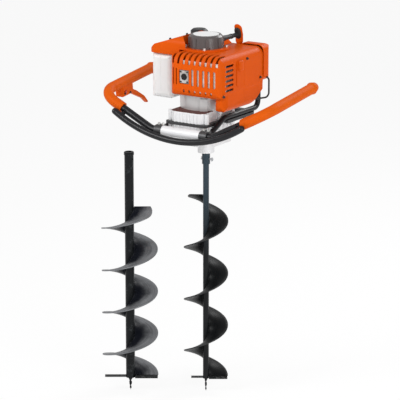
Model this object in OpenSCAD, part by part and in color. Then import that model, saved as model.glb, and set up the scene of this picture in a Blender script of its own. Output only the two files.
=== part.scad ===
// One-man petrol earth auger: engine, reduction gearbox, U-shaped handle frame and
// a drill bit, with a second, wider bit that stands beside it.
// Millimetres, +Z up. The origin is the tip of the fitted bit's pilot point, on the drive axis.
// +X is the side of the cylinder head, -Y is the exhaust side, and the operator stands at +Y.

/* [Fitted bit] */
// Diameter that the fitted bit cuts
bit_d = 150; // [100:5:180]
// Height that one turn of its flight climbs
bit_pitch = 182; // [120:2:184]
// Turns of its flight
bit_turns = 3.5; // [2:0.25:3.75]
// Diameter of its shaft
bit_shaft_d = 20; // [16:0.5:22]
// Height of the coupling's mouth above the pilot tip
bit_reach = 798; // [740:2:900]

/* [Spare bit] */
// Diameter that the spare bit cuts
spare_d = 190; // [140:5:210]
// Height that one turn of its flight climbs
spare_pitch = 148; // [100:1:160]
// Turns of its flight
spare_turns = 4; // [2:0.25:4]
// Outside diameter of its tube
spare_tube_d = 31; // [28:0.5:36]
// Height of its tube's mouth above the ground
spare_h = 836; // [720:2:860]
// Diameter of its drive socket
spare_socket_d = 20.4; // [18:0.1:24]
// Depth of its drive socket
spare_socket_depth = 70; // [50:1:100]
// Where it stands, left of the drive axis
spare_x = -222; // [-300:2:-210]
// Where it stands, in front of the drive axis
spare_y = -130; // [-160:2:-100]

/* [Both bits] */
// Thickness of the flight plate
flight_t = 4; // [3:0.5:6]
// Length of the pilot point
point_len = 46; // [35:1:60]
// Thickness of the cutting blades
blade_t = 6; // [4:0.5:8]

/* [Coupling] */
// Outside diameter of the coupling sleeve
coupling_d = 27; // [26:0.5:32]
// Length of the coupling below the bearing cap
coupling_len = 40; // [36:1:60]
// Depth of its socket
coupling_depth = 34; // [24:1:36]
// Diameter of the cross pin
pin_d = 6; // [5:0.5:8]

/* [Gearbox] */
// Width of the gear case
case_w = 130; // [124:1:150]
// Reach of the gear case in front of the drive axis
case_front = 123; // [120:1:135]
// Reach of the gear case behind the drive axis
case_back = 70; // [62:1:80]
// Height of the lower case
case_low_h = 77; // [76:1:96]
// Height of the upper case
case_top_h = 34; // [32:1:44]
// Wall of the gear case
case_wall = 6; // [5:0.5:8]
// Thickness of the frame plate between the cases
plate_t = 10; // [8:0.5:14]
// Height of the bearing cap under the case
cap_t = 35; // [30:1:44]
// Gear module
gear_m = 1.5; // [1.25, 1.5]
// Teeth of each pinion
pinion_teeth = 12; // [11:1:13]
// Teeth of each wheel
wheel_teeth = 68; // [60:1:68]
// Face width of the wheels
gear_w = 14; // [10:1:16]

/* [Handle] */
// Outside diameter of the handle tube
tube_d = 25; // [22:0.5:27]
// Wall of the handle tube
tube_wall = 2; // [1.5:0.25:3]
// Half length of the cross bar, to the middle of its bends
bar_half = 118; // [108:1:130]
// Half width of the handle, to the middle of the grips
handle_half = 318; // [290:2:340]
// Distance of the cross bar in front of the drive axis
bar_front = 145; // [144:1:152]
// Rise of the arms from the cross bar to the grips
arm_rise = 100; // [84:2:120]
// Rise of the grips from the bends to their ends
grip_rise = 36; // [10:1:44]
// Bend radius of the handle tube at the grips
grip_bend = 62; // [50:1:70]
// How far the grip tubes end behind the drive axis
grip_back = 160; // [120:2:200]
// Outside diameter of the grips
grip_d = 36; // [33:0.5:40]
// Outside diameter of the bow tube
bow_d = 22; // [18:0.5:24]
// Sag of the bow below its ends
bow_sag = 72; // [64:1:76]

/* [Engine] */
// Diameter of the clutch housing
collar_d = 172; // [160:2:186]
// Height of the clutch housing
collar_h = 42; // [38:1:50]
// Diameter of the crankcase
crankcase_d = 108; // [100:2:116]
// Side of the square cooling fins
fin_side = 84; // [70:2:92]
// Number of cooling fins
fin_count = 7; // [5:1:8]
// Wall of the orange covers
cover_wall = 3; // [2:0.25:4]
// Diameter of the recoil starter
starter_d = 116; // [104:2:120]
// Height of the recoil starter
starter_h = 42; // [34:1:48]
// Diameter of the fuel cap
fuel_cap_d = 58; // [50:1:66]
// Length of the starter's T-grip
pull_len = 58; // [50:1:70]

/* [Hidden] */
$fn = 64;

// Gap of a shaft in its bore, and of parts that pass each other
running_gap = 0.05;
clear_gap = 0.4;
// Overshoot of a cut past the face that it opens
over = 1;
// Thin ring at each joint of a bent tube
joint_len = 1;
joint_step = 0.05;
joint_gap = 0.02;

// Heights, from the bit's tip upwards
flange_z = bit_reach + coupling_len;
case_z = flange_z + cap_t;
plate_z = case_z + case_low_h;
top_z = plate_z + plate_t;
collar_z = top_z + case_top_h;
engine_z = collar_z + collar_h;

// Gear train: input pinion to layshaft wheel, layshaft pinion to output wheel
pressure = 20;
lay_y = -gear_m * (pinion_teeth + wheel_teeth) / 2;
wheel_r = gear_m * wheel_teeth / 2 + gear_m;
shaft_d = 17;
lay_shaft_d = 12;
bearing_w = 10;
bearing_od = 40;
lay_bearing_od = 28;
low_mesh_z = case_z + case_wall + bearing_w + 4;
high_mesh_z = plate_z - gear_w - 2;
lay_bottom_z = case_z + case_wall;
lay_top_z = collar_z - case_wall;

orange = [0.80, 0.28, 0.06];
black = [0.03, 0.03, 0.035];
steel = [0.62, 0.63, 0.65];
alloy = [0.74, 0.74, 0.75];
bit_paint = [0.05, 0.055, 0.06];

function unit(v) = v / norm(v);
// A direction square to v
function square_to(v) = unit(abs(v[2]) < 0.9 ? cross([0, 0, 1], v) : cross([1, 0, 0], v));

// Children stand at p with their +X, +Y and +Z along the given directions
module placed(p, x, y, z)
    multmatrix([[x[0], y[0], z[0], p[0]], [x[1], y[1], z[1], p[1]], [x[2], y[2], z[2], p[2]],
        [0, 0, 0, 1]])
        children();

// Children's +Z runs from p towards q
module aimed(p, q) {
    z = unit(q - p);
    x = square_to(z);
    placed(p, x, cross(z, x), z) children();
}

// Round bar from p to q, hollow where a bore is given
module bar(p, q, d, bore = 0)
    aimed(p, q)
        difference() {
            cylinder(d = d, h = norm(q - p));
            if (bore > 0) translate([0, 0, -over]) cylinder(d = bore, h = norm(q - p) + 2 * over);
        }

function turn_angle(a, b, c) = acos(unit(b - a) * unit(c - b));
// Length of straight tube that a bend of radius r takes up at the corner b
function bend_take(a, b, c, r) = r * tan(turn_angle(a, b, c) / 2);

// Bend of radius r in a tube that runs from a round the corner b to c
module bend(a, b, c, r, d, bore = 0) {
    u = unit(b - a);
    w = unit(c - b);
    n = unit(w - u * (u * w));
    start = b - u * bend_take(a, b, c, r);
    placed(start + n * r, -n, u, cross(u, n))
        rotate_extrude(angle = turn_angle(a, b, c))
            translate([r, 0])
                difference() {
                    circle(d = d);
                    if (bore > 0) circle(d = bore);
                }
}

// Butt joint between a straight and a bend: a thin ring, proud by joint_step, that closes the gap
module joint(p, along, d, bore)
    bar(p - along * joint_len / 2, p + along * joint_len / 2, d + 2 * joint_step,
        bore > 0 ? bore - 2 * joint_step : 0);

// Tube through the listed corners, with one bend radius for each inner corner
module bent_tube(p, radii, d, bore = 0) {
    last = len(p) - 1;
    for (i = [0 : last - 1]) {
        along = unit(p[i + 1] - p[i]);
        head = i == 0 ? 0 : bend_take(p[i - 1], p[i], p[i + 1], radii[i - 1]);
        tail = i == last - 1 ? 0 : bend_take(p[i], p[i + 1], p[i + 2], radii[i]);
        from = p[i] + along * head;
        to = p[i + 1] - along * tail;
        bar(i == 0 ? from : from + along * joint_gap, i == last - 1 ? to : to - along * joint_gap, d,
            bore);
        if (i > 0) joint(from, along, d, bore);
        if (i < last - 1) joint(to, along, d, bore);
    }
    for (i = [1 : last - 1]) bend(p[i - 1], p[i], p[i + 1], radii[i - 1], d, bore);
}

// Rectangle between two corners, with round corners
module round_rect(low, high, r) {
    translate([low[0] + r, low[1]]) square([high[0] - low[0] - 2 * r, high[1] - low[1]]);
    translate([low[0], low[1] + r]) square([high[0] - low[0], high[1] - low[1] - 2 * r]);
    for (x = [low[0] + r, high[0] - r], y = [low[1] + r, high[1] - r]) translate([x, y]) circle(r);
}

// Box between two corners, rounded in plan, in front view and in side view
module moulded(low, high, plan_r, front_r, side_r)
    intersection() {
        translate([0, 0, low[2]])
            linear_extrude(high[2] - low[2]) round_rect([low[0], low[1]], [high[0], high[1]], plan_r);
        translate([0, high[1], 0]) rotate([90, 0, 0])
            linear_extrude(high[1] - low[1]) round_rect([low[0], low[2]], [high[0], high[2]], front_r);
        translate([low[0], 0, 0]) rotate([90, 0, 90])
            linear_extrude(high[0] - low[0]) round_rect([low[1], low[2]], [high[1], high[2]], side_r);
    }

module ring(z, h, od, id)
    translate([0, 0, z])
        difference() {
            cylinder(d = od, h = h);
            translate([0, 0, -over]) cylinder(d = id, h = h + 2 * over);
        }

// Spur gears

function inv(a) = tan(a) * 180 / PI - a;
function flank_half(r, rb, teeth, slack) =
    90 / teeth - slack + inv(pressure) - inv(acos(min(1, rb / r)));

// Outline of a spur gear with a tooth on the +X axis
module gear_outline(teeth, slack) {
    rp = gear_m * teeth / 2;
    rb = rp * cos(pressure);
    tip = rp + 0.8 * gear_m;
    root = rp - 1.15 * gear_m;
    low = max(rb, root + 0.05 * gear_m);
    radii = [low, (low + rp) / 2, rp, tip];
    polygon([
        for (k = [0 : teeth - 1])
            for (side = [-1, 1], i = [0 : len(radii)])
                let (
                    j = side < 0 ? i - 1 : len(radii) - 1 - i,
                    r = j < 0 ? root : radii[j],
                    a = k * 360 / teeth + side * flank_half(max(r, low), rb, teeth, slack)
                )
                [r * cos(a), r * sin(a)]
    ]);
}

module gear(teeth, w, bore, slack)
    linear_extrude(w)
        difference() {
            gear_outline(teeth, slack);
            circle(d = bore);
        }

// Drill bits

// Helical plate between two radii; one closed shell, right-handed
module flight(inner_r, outer_r, pitch, turns, t, start) {
    steps = ceil(turns * 36);
    // The top end of the plate narrows over its last steps
    function reach(i) = min(outer_r, inner_r + (outer_r - inner_r) * (0.7 + (steps - i) / 14));
    points = [
        for (i = [0 : steps])
            let (a = start + 360 * turns * i / steps, z = pitch * turns * i / steps)
                for (c = [[inner_r, 0], [reach(i), 0], [reach(i), t], [inner_r, t]])
                    [c[0] * cos(a), c[0] * sin(a), z + c[1]]
    ];
    sides = [
        for (i = [0 : steps - 1], j = [0 : 3])
            let (a = 4 * i + j, b = 4 * i + (j + 1) % 4)
                each [[a, a + 4, b], [b, a + 4, b + 4]]
    ];
    last = 4 * steps;
    ends = [[0, 1, 2], [0, 2, 3], [last, last + 2, last + 1], [last, last + 3, last + 2]];
    polyhedron(points, concat(sides, ends));
}

// Twisted spear that centres the bit: a flat bar, tapered and twisted to its tip
module pilot_point(d) {
    rotate([180, 0, 0])
        linear_extrude(height = point_len - d / 2, twist = 400, scale = 0.45, slices = 20, $fn = 8)
            square([d, 0.45 * d], center = true);
    translate([0, 0, -point_len]) cylinder(d1 = 0.5, d2 = 0.45 * 0.45 * d, h = d / 2 + joint_gap);
}

// Flat cutting blade from the shaft out, with a bevelled lower edge, along +X
module cutting_blade(inner_r, outer_r, depth)
    rotate([90, 0, 90])
        translate([0, 0, inner_r])
            linear_extrude(outer_r - inner_r)
                polygon([[-depth / 2, 0], [depth / 2 - blade_t, 0], [depth / 2, blade_t],
                    [-depth / 2, blade_t]]);

// Fitted bit and its coupling

blade_z = point_len;
flight_z = blade_z + blade_t;
flight_angle = 33;
pin_z = bit_reach + coupling_depth / 2;
weld_gap = 0.06;

module bit_shaft()
    color(bit_paint)
        difference() {
            translate([0, 0, point_len])
                cylinder(d = bit_shaft_d, h = bit_reach + coupling_depth - point_len);
            cross_hole(bit_shaft_d);
        }

// Hole for the cross pin through a shaft or sleeve of diameter d
module cross_hole(d)
    translate([-d, 0, pin_z]) rotate([0, 90, 0]) cylinder(d = pin_d + 2 * running_gap, h = 2 * d);

module bit_flight()
    color(bit_paint)
        translate([0, 0, flight_z])
            flight(bit_shaft_d / 2 + weld_gap, bit_d / 2, bit_pitch, bit_turns, flight_t, flight_angle);

module blades(shaft_r, long_r, short_r, depth, angle)
    translate([0, 0, blade_z])
        for (b = [[0, long_r, depth], [180, short_r, depth / 2]])
            rotate(angle + b[0]) cutting_blade(shaft_r + weld_gap, b[1], b[2]);

module bit_blades()
    color(steel) blades(bit_shaft_d / 2, bit_d / 2 - 2, bit_d / 3, 26, flight_angle);

module bit_point()
    color(bit_paint) translate([0, 0, point_len]) pilot_point(9);

module cross_pin()
    color(steel) {
        pin_len = coupling_d + 14;
        head = 4;
        translate([-coupling_d / 2, 0, pin_z]) rotate([0, 90, 0]) cylinder(d = pin_d, h = pin_len);
        translate([-coupling_d / 2 - head, 0, pin_z]) rotate([0, 90, 0])
            cylinder(d = pin_d + 5, h = head);
        // Spring clip through the pin's end
        translate([-coupling_d / 2 + pin_len - 4, 0, pin_z])
            rotate([0, 90, 0]) rotate_extrude() translate([pin_d / 2 + 3, 0]) circle(d = 2, $fn = 24);
        translate([-coupling_d / 2 + pin_len - 4, 0, pin_z - pin_d / 2 - 3])
            cylinder(d = 2, h = pin_d + 6, $fn = 24);
    }

// Gearbox

lug_d = 15;
lug_h = 20;
bolt_d = 5;
bolt_hole_d = bolt_d + 2 * running_gap;
bolt_bite = 18;
case_r = 24;
lug_points = [
    for (s = [-1, 1], y = [-case_front + 18, (case_back - case_front) / 2, case_back - 18])
        [s * (case_w / 2 + bolt_d + 0.5), y]
];
output_top_z = low_mesh_z + gear_w + 10;

module output_shaft()
    color(bit_paint)
        difference() {
            union() {
                translate([0, 0, bit_reach]) cylinder(d = coupling_d, h = coupling_len - clear_gap);
                translate([0, 0, flange_z - over])
                    cylinder(d = shaft_d, h = output_top_z - flange_z + over);
            }
            translate([0, 0, bit_reach - over])
                cylinder(d = bit_shaft_d + 2 * running_gap, h = coupling_depth + over);
            cross_hole(coupling_d);
        }

module output_wheel()
    color(steel)
        translate([0, 0, low_mesh_z])
            rotate(-90 + 180 / wheel_teeth) gear(wheel_teeth, gear_w, shaft_d, slack_wheel);

// Angle taken off each flank, as backlash
slack_pinion = 0.9;
slack_wheel = 0.16;
cap_lip = 3;
output_bearing_z = [flange_z + cap_lip, case_z - bearing_w];

module output_bearings()
    color(steel) for (z = output_bearing_z) ring(z, bearing_w, bearing_od, shaft_d + 2 * running_gap);

cap_d = bearing_od + 46;
cap_flange_t = 8;
cap_bolt_r = bearing_od / 2 + 16;

module bearing_cap()
    color(alloy)
        difference() {
            union() {
                ring(case_z - cap_flange_t, cap_flange_t, cap_d, shaft_d + 2 * clear_gap);
                ring(flange_z, cap_t, bearing_od + 16, shaft_d + 2 * clear_gap);
            }
            translate([0, 0, flange_z + cap_lip]) cylinder(d = bearing_od, h = cap_t);
            for (k = [0 : 3]) rotate(45 + 90 * k)
                translate([cap_bolt_r, 0, flange_z]) cylinder(d = bolt_hole_d, h = cap_t + over);
        }

// Hexagon-headed bolt with its head's seat at z = 0, pointing down
module bolt(d, len) {
    cylinder(d = 2 * d, h = 0.7 * d, $fn = 6);
    translate([0, 0, -len]) cylinder(d = d, h = len + 0.1);
}

module bearing_cap_bolts()
    color(steel)
        for (k = [0 : 3]) rotate(45 + 90 * k)
            translate([cap_bolt_r, 0, case_z - cap_flange_t]) rotate([180, 0, 0])
                bolt(bolt_d, cap_flange_t + case_wall - 1.5);

module layshaft()
    color(steel)
        translate([0, lay_y, 0]) {
            translate([0, 0, lay_bottom_z + clear_gap])
                cylinder(d = lay_shaft_d, h = lay_top_z - lay_bottom_z - 2 * clear_gap);
            translate([0, 0, low_mesh_z - 2]) rotate(90)
                linear_extrude(gear_w + 4) gear_outline(pinion_teeth, slack_pinion);
        }

module layshaft_wheel()
    color(steel)
        translate([0, lay_y, high_mesh_z])
            rotate(90 + 180 / wheel_teeth) gear(wheel_teeth, gear_w, lay_shaft_d, slack_wheel);

// Bearings of the layshaft, and of the input pinion's shaft
module case_bearings()
    color(steel)
        for (p = [[lay_y, lay_bottom_z], [lay_y, lay_top_z - bearing_w], [0, lay_top_z - bearing_w]])
            translate([0, p[0], 0]) ring(p[1], bearing_w, lay_bearing_od, lay_shaft_d + 2 * running_gap);

collar_floor = 4;
drum_z = collar_z + 2 * collar_floor;
drum_h = 26;
drum_d = 92;
drum_wall = 3.5;

module input_pinion()
    color(steel) {
        translate([0, 0, high_mesh_z - 1]) cylinder(d = lay_shaft_d, h = drum_z + 6 - high_mesh_z);
        translate([0, 0, high_mesh_z - 1]) rotate(-90)
            linear_extrude(gear_w + 2) gear_outline(pinion_teeth, slack_pinion);
    }

// Outline of the gear case from its front, with its bolt lugs; inset is taken off all round for the pocket
module case_outline(inset, lugs, front = case_front) {
    round_rect([-case_w / 2 + inset, -front + inset], [case_w / 2 - inset, case_back - inset],
        case_r - inset);
    if (lugs) for (p = lug_points) translate(p) circle(d = lug_d);
}

module lug_holes(z0, z1)
    for (p = lug_points) translate([p[0], p[1], z0]) cylinder(d = bolt_hole_d, h = z1 - z0);

rib_count = 7;
rib_w = 5;
rib_out = 2.5;
rib_pitch = (case_w - 2 * case_r) / (rib_count - 1);

// Upright stiffening ribs on the front wall of a case half
module case_ribs(z, h)
    for (k = [0 : rib_count - 1])
        translate([(k - (rib_count - 1) / 2) * rib_pitch - rib_w / 2, -case_front - rib_out, z])
            cube([rib_w, 2 * rib_out, h]);

// The tub round the output wheel is shorter in front than the step above it, which takes the layshaft wheel
tub_front = lay_bearing_od / 2 + 10 - lay_y;
step_z = high_mesh_z - case_wall - 2;

module gear_case_lower() {
    lay_boss_h = case_wall + bearing_w;
    color(alloy)
        difference() {
            union() {
                difference() {
                    union() {
                        translate([0, 0, case_z]) linear_extrude(case_low_h)
                            case_outline(0, false, tub_front);
                        translate([0, 0, step_z]) linear_extrude(plate_z - step_z) case_outline(0, false);
                        translate([0, 0, plate_z - lug_h]) linear_extrude(lug_h) case_outline(0, true);
                        case_ribs(step_z, plate_z - step_z);
                    }
                    translate([0, 0, case_z + case_wall])
                        linear_extrude(case_low_h) case_outline(case_wall, false, tub_front);
                    translate([0, 0, step_z + case_wall]) linear_extrude(case_low_h)
                        case_outline(case_wall, false);
                }
                translate([0, lay_y, case_z]) cylinder(d = lay_bearing_od + 9, h = lay_boss_h);
            }
            translate([0, 0, case_z - over]) cylinder(d = bearing_od - 8, h = case_wall + 2 * over);
            translate([0, lay_y, lay_bottom_z]) cylinder(d = lay_bearing_od, h = lay_boss_h);
            lug_holes(case_z, plate_z + over);
            for (k = [0 : 3]) rotate(45 + 90 * k)
                translate([cap_bolt_r, 0, case_z - over]) cylinder(d = bolt_hole_d, h = case_wall);
        }
}

rail_d = 18;
rail_x = case_w / 2 + bolt_d + 0.5 + lug_d / 2 + 1 + rail_d / 2;
plate_half = rail_x + rail_d / 2;
plate_back = case_back + 104;

module frame_plate()
    color(black)
        translate([0, 0, plate_z])
            difference() {
                linear_extrude(plate_t) round_rect([-plate_half, -case_front - 4],
                    [plate_half, plate_back], 40);
                translate([0, 0, -over]) linear_extrude(plate_t + 2 * over)
                    case_outline(case_wall, false);
                lug_holes(-over, plate_t + over);
                // Lightening slot behind the gear case
                translate([0, 0, -over]) linear_extrude(plate_t + 2 * over)
                    round_rect([-plate_half + 30, case_back + 22], [plate_half - 30, plate_back - 22],
                        10);
                // Front corners, where the side rails drop to the cross bar
                for (side = [-1, 1])
                    translate([side * (rail_x - rail_d / 2 - clear_gap + 50) - 50, -case_front - 5,
                        -over])
                        cube([100, case_front - 11, plate_t + 2 * over]);
            }

module gear_case_upper() {
    boss_h = bearing_w + case_wall;
    color(alloy)
        difference() {
            union() {
                difference() {
                    union() {
                        translate([0, 0, top_z]) linear_extrude(case_top_h) case_outline(0, true);
                        case_ribs(top_z, case_top_h - 4);
                    }
                    translate([0, 0, top_z - over])
                        linear_extrude(case_top_h - case_wall + over) case_outline(case_wall, false);
                }
                for (y = [0, lay_y])
                    translate([0, y, collar_z - boss_h]) cylinder(d = lay_bearing_od + 9, h = boss_h);
            }
            for (y = [0, lay_y])
                translate([0, y, collar_z - boss_h - over])
                    cylinder(d = lay_bearing_od, h = bearing_w + over);
            translate([0, 0, collar_z - boss_h]) cylinder(d = lay_bearing_od - 8, h = boss_h + over);
            lug_holes(top_z - over, top_z + bolt_bite + 1);
        }
}

module gear_case_bolts()
    color(steel)
        for (p = lug_points)
            translate([p[0], p[1], plate_z - lug_h]) rotate([180, 0, 0])
                bolt(bolt_d, lug_h + plate_t + bolt_bite);

// Clutch and crank

crank_d = 15;
shoe_z = drum_z + 6;
shoe_h = 16;
hub_d = 26;
cyl_z = engine_z + 58;
flywheel_z = engine_z + 118;

module clutch_housing()
    color(alloy)
        difference() {
            union() {
                translate([0, 0, collar_z]) cylinder(d = collar_d, h = collar_h);
                // Bolting lug on the exhaust side
                rotate(-62) translate([collar_d / 2 - 8, -13, collar_z]) cube([14, 26, collar_h]);
            }
            translate([0, 0, collar_z + collar_floor]) cylinder(d = collar_d - 12, h = collar_h);
            translate([0, 0, collar_z - over]) cylinder(d = lay_bearing_od + 4, h = collar_h);
        }

module clutch_drum()
    color(steel) {
        ring(drum_z, 3, drum_d, lay_shaft_d);
        ring(drum_z, drum_h, drum_d, drum_d - 2 * drum_wall);
    }

module clutch_shoes()
    color([0.35, 0.33, 0.32])
        for (k = [0, 1]) rotate(180 * k + 10)
            translate([0, 0, shoe_z])
                rotate_extrude(angle = 160)
                    translate([hub_d / 2, 0]) square([(drum_d - 2 * drum_wall - hub_d) / 2 - 1, shoe_h]);

crank_top_z = flywheel_z + 34;

module crankshaft()
    color(steel) {
        translate([0, 0, shoe_z]) cylinder(d = crank_d, h = crank_top_z - shoe_z);
        translate([0, 0, shoe_z]) cylinder(d = hub_d, h = shoe_h);
    }

fan_d = 138;
blade_count = 14;

module flywheel()
    color(alloy) {
        ring(flywheel_z, 8, fan_d - 24, crank_d);
        ring(flywheel_z, 22, 36, crank_d);
        for (k = [0 : blade_count - 1]) rotate(360 / blade_count * k)
            translate([17, -1.25, flywheel_z]) cube([fan_d / 2 - 17, 2.5, 18]);
    }

module crankcase()
    color(alloy)
        difference() {
            union() {
                translate([0, 0, engine_z]) cylinder(d = collar_d, h = 7);
                translate([0, 0, engine_z]) cylinder(d = crankcase_d, h = flywheel_z - engine_z - 4);
                translate([0, -34, cyl_z - 36]) cube([crankcase_d / 2 + 4, 68, 72]);
                // Bracket that carries the fuel tank
                translate([tank_right, -30, engine_z]) cube([20, 60, 7]);
            }
            translate([0, 0, engine_z - over]) cylinder(d = crank_d + 2 * running_gap, h = flywheel_z);
        }

cyl_x = crankcase_d / 2 + 4;
fin_pitch = 10;
fin_t = 3;
cyl_end = cyl_x + 6 + fin_count * fin_pitch;
port_x = cyl_x + 28;
port_lip = 3;
port_out = fin_side / 2 + port_lip;

module cylinder_barrel() {
    translate([cyl_x, 0, cyl_z]) rotate([0, 90, 0]) cylinder(d = 58, h = cyl_end - cyl_x);
    for (k = [0 : fin_count - 1])
        translate([cyl_x + 6 + k * fin_pitch, -fin_side / 2, cyl_z - fin_side / 2])
            cube([fin_t, fin_side, fin_side]);
    // Exhaust port in front and intake port behind
    translate([port_x, port_out, cyl_z]) rotate([90, 0, 0]) cylinder(d = 34, h = 2 * port_out);
}

module engine_cylinder() color(alloy) cylinder_barrel();

// Orange covers: where their outsides stand

cover_left = -62;
cover_right = 140;
cover_front = -130;
cover_split = 14;
filter_y = 130;
filter_left = 46;
cover_back = 178;
cover_low = engine_z + 9;
cover_top = engine_z + 152;
skirt_low = engine_z - 34;
skirt_left = collar_d / 2 + 8;
skirt_front = -104;
// How far the skirt's faces stand back from the cover's
skirt_step = 0.6;
fan_housing_d = fan_d + 14;
fan_top = engine_z + 158;
seam = 0.4;

// The plug stands in the back of the cylinder head, and its lead loops out past the rear shroud
plug_x = cyl_end - 10;
plug_y = fin_side / 2;
plug_hex_h = 8;
boot_y = plug_y + plug_hex_h;
boot_len = 34;
plug_d = 9;

module spark_plug()
    color(steel)
        translate([plug_x, plug_y, cyl_z]) rotate([-90, 0, 0]) {
            cylinder(d = 18, h = plug_hex_h, $fn = 6);
            translate([0, 0, plug_hex_h]) cylinder(d = plug_d, h = 16);
        }

module plug_boot()
    color(black)
        translate([plug_x, boot_y, cyl_z]) rotate([-90, 0, 0])
            difference() {
                union() {
                    cylinder(d = 18, h = boot_len - 8);
                    translate([0, 0, boot_len - 8]) cylinder(d1 = 18, d2 = 11, h = 8);
                }
                translate([0, 0, -over]) cylinder(d = plug_d + 2 * running_gap, h = 16 + over);
            }

lead_d = 6;
lead_x = cover_right + 9;
lead_y = filter_y + 24;
lead_low = skirt_low + 12;
lead_route = [
    [plug_x, boot_y + boot_len, cyl_z], [plug_x, boot_y + boot_len + 16, cyl_z],
    [plug_x, boot_y + boot_len + 16, lead_low], [lead_x, lead_y, lead_low],
    [lead_x, lead_y, cyl_z - 12], [cover_right - 20, lead_y, cyl_z - 12]
];

module ignition_lead()
    color(black) bent_tube(lead_route, [10, 14, 16, 10], lead_d);

// Exhaust

exhaust_x = -2;
exhaust_z = engine_z + 78;
muffler_low = [-34, -122, engine_z + 18];
muffler_high = [116, -57, engine_z + 114];
outlet_w = 34;
outlet_h = 42;
outlet_d = 16;

module muffler()
    color(steel)
        difference() {
            union() {
                moulded(muffler_low, muffler_high, 16, 12, 12);
                translate([exhaust_x - outlet_w / 2, cover_front + 2, exhaust_z - outlet_h / 2])
                    cube([outlet_w, 14, outlet_h]);
                // Flange on the exhaust port
                translate([port_x, muffler_high[1] - over, cyl_z]) rotate([-90, 0, 0])
                    cylinder(d = 34, h = over - port_out - muffler_high[1]);
            }
            translate([exhaust_x, muffler_low[1] + 20, exhaust_z]) rotate([90, 0, 0])
                cylinder(d = outlet_d, h = 40);
        }

// Side view of the skirt, which rises to the back from chamfer_y on
chamfer_y = 62;
chamfer_slope = 0.65;

module skirt_chamfer(up) {
    front = skirt_front - 60;
    back = filter_y + 80;
    drop = 30;
    translate([skirt_left - over, 0, 0]) rotate([90, 0, 90])
        linear_extrude(cover_right - skirt_left + 2 * over)
            polygon([
                [front, skirt_low - drop + up], [chamfer_y - drop / chamfer_slope, skirt_low - drop + up],
                [back, skirt_low + (back - chamfer_y) * chamfer_slope + up],
                [back, cover_top + over], [front, cover_top + over]
            ]);
}

// Outside form of the engine covers from y0 to y1, taken in by inset all round
module cover_form(y0, y1, inset) {
    moulded([cover_left + inset, y0 + inset, cover_low + inset],
        [cover_right - inset, y1 - inset, cover_top - inset],
        28 - inset, 26 - inset, 32 - inset);
    intersection() {
        moulded([skirt_left + inset, max(y0, skirt_front) + inset, skirt_low + inset],
            [cover_right - skirt_step - inset, y1 - skirt_step - inset, cover_top - 40 - inset],
            22 - inset, 22 - inset, 22 - inset);
        skirt_chamfer(inset * sqrt(1 + chamfer_slope * chamfer_slope));
    }
}

// Shell of the same form, with the floor open round the crankcase
module cover_shell(y0, y1, floor_back)
    difference() {
        cover_form(y0, y1, 0);
        cover_form(y0, y1, cover_wall);
        translate([cover_left + 6, y0 + 16, skirt_low - over])
            cube([skirt_left - cover_left - 10, floor_back - y0 - 16, cover_low - skirt_low + 20]);
        translate([0, 0, cover_top - 60]) cylinder(d = fan_housing_d + 2 * clear_gap, h = 80);
    }

slot_w = 9;
slot_pitch = 21;

// Outline on the front wall, cut through it
module front_cut()
    translate([0, cover_front + 12, 0]) rotate([90, 0, 0]) linear_extrude(12 + over) children();

// Upright slot through the front wall, round at both ends, at x between two heights
module front_slot(x, z0, z1, w)
    front_cut() round_rect([x - w / 2, z0], [x + w / 2, z1], w / 2 - 0.1);

louvre_count = 6;
louvre_pitch = 16;
louvre_y = [-100, -52];

module side_louvres()
    for (k = [0 : louvre_count - 1])
        translate([cover_right - 8, 0, 0]) rotate([90, 0, 90])
            linear_extrude(8 + over)
                round_rect([louvre_y[0], engine_z + 36 + k * louvre_pitch],
                    [louvre_y[1], engine_z + 44 + k * louvre_pitch], 3);

module muffler_cover() {
    margin = 2;
    color(orange)
        difference() {
            union() {
                cover_shell(cover_front, cover_split + 60, cover_split + 44);
                // Raised bare pad on the side wall
                translate([cover_right - 1, 0, 0]) rotate([90, 0, 90])
                    linear_extrude(3) round_rect([-34, engine_z + 46], [6, engine_z + 128], 5);
            }
            translate([cover_left - over, cover_split - seam, skirt_low - over])
                cube([cover_right - cover_left + 10, 70, 200]);
            for (k = [0 : 8])
                translate([-46 + k * slot_pitch - slot_w / 2, cover_front - over, cover_top - 32])
                    cube([slot_w, 54, 40]);
            for (k = [0 : 4]) front_slot(30 + k * slot_pitch, engine_z + 50, engine_z + 106, slot_w);
            for (k = [0 : 5]) front_slot(-4 + k * slot_pitch, engine_z + 26, engine_z + 36, slot_w - 2);
            for (k = [0, 1]) front_slot(-44 + 12 * k, engine_z + 50, engine_z + 106, 4);
            front_cut()
                round_rect([exhaust_x - outlet_w / 2 - margin, exhaust_z - outlet_h / 2 - margin],
                    [exhaust_x + outlet_w / 2 + margin, exhaust_z + outlet_h / 2 + margin], 3);
            side_louvres();
        }
}

module rear_shroud() {
    back = filter_y - seam;
    past = 50;
    wall_lap = 0.5;
    width = cover_right - cover_left + 10;
    color(orange)
        difference() {
            union() {
                difference() {
                    cover_shell(cover_split - 60, back + past, back - 16);
                    translate([cover_left - over, back, skirt_low - over]) cube([width, 2 * past, 200]);
                }
                // Back wall, let in a little between the shell's walls
                intersection() {
                    cover_form(cover_split - 60, back + past, cover_wall - wall_lap);
                    translate([cover_left - over, back - cover_wall - wall_lap, skirt_low - over])
                        cube([width, cover_wall, 200]);
                }
            }
            translate([cover_left - over, cover_split - 70, skirt_low - over]) cube([width, 70, 200]);
            // Ways for the intake and for the plug lead
            translate([port_x, filter_y - 20, cyl_z]) rotate([-90, 0, 0])
                cylinder(d = intake_d + 2 * clear_gap, h = 40);
            translate([plug_x, boot_y + boot_len + 16, skirt_low - over])
                cylinder(d = lead_d + 6, h = 60);
        }
}

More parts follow.
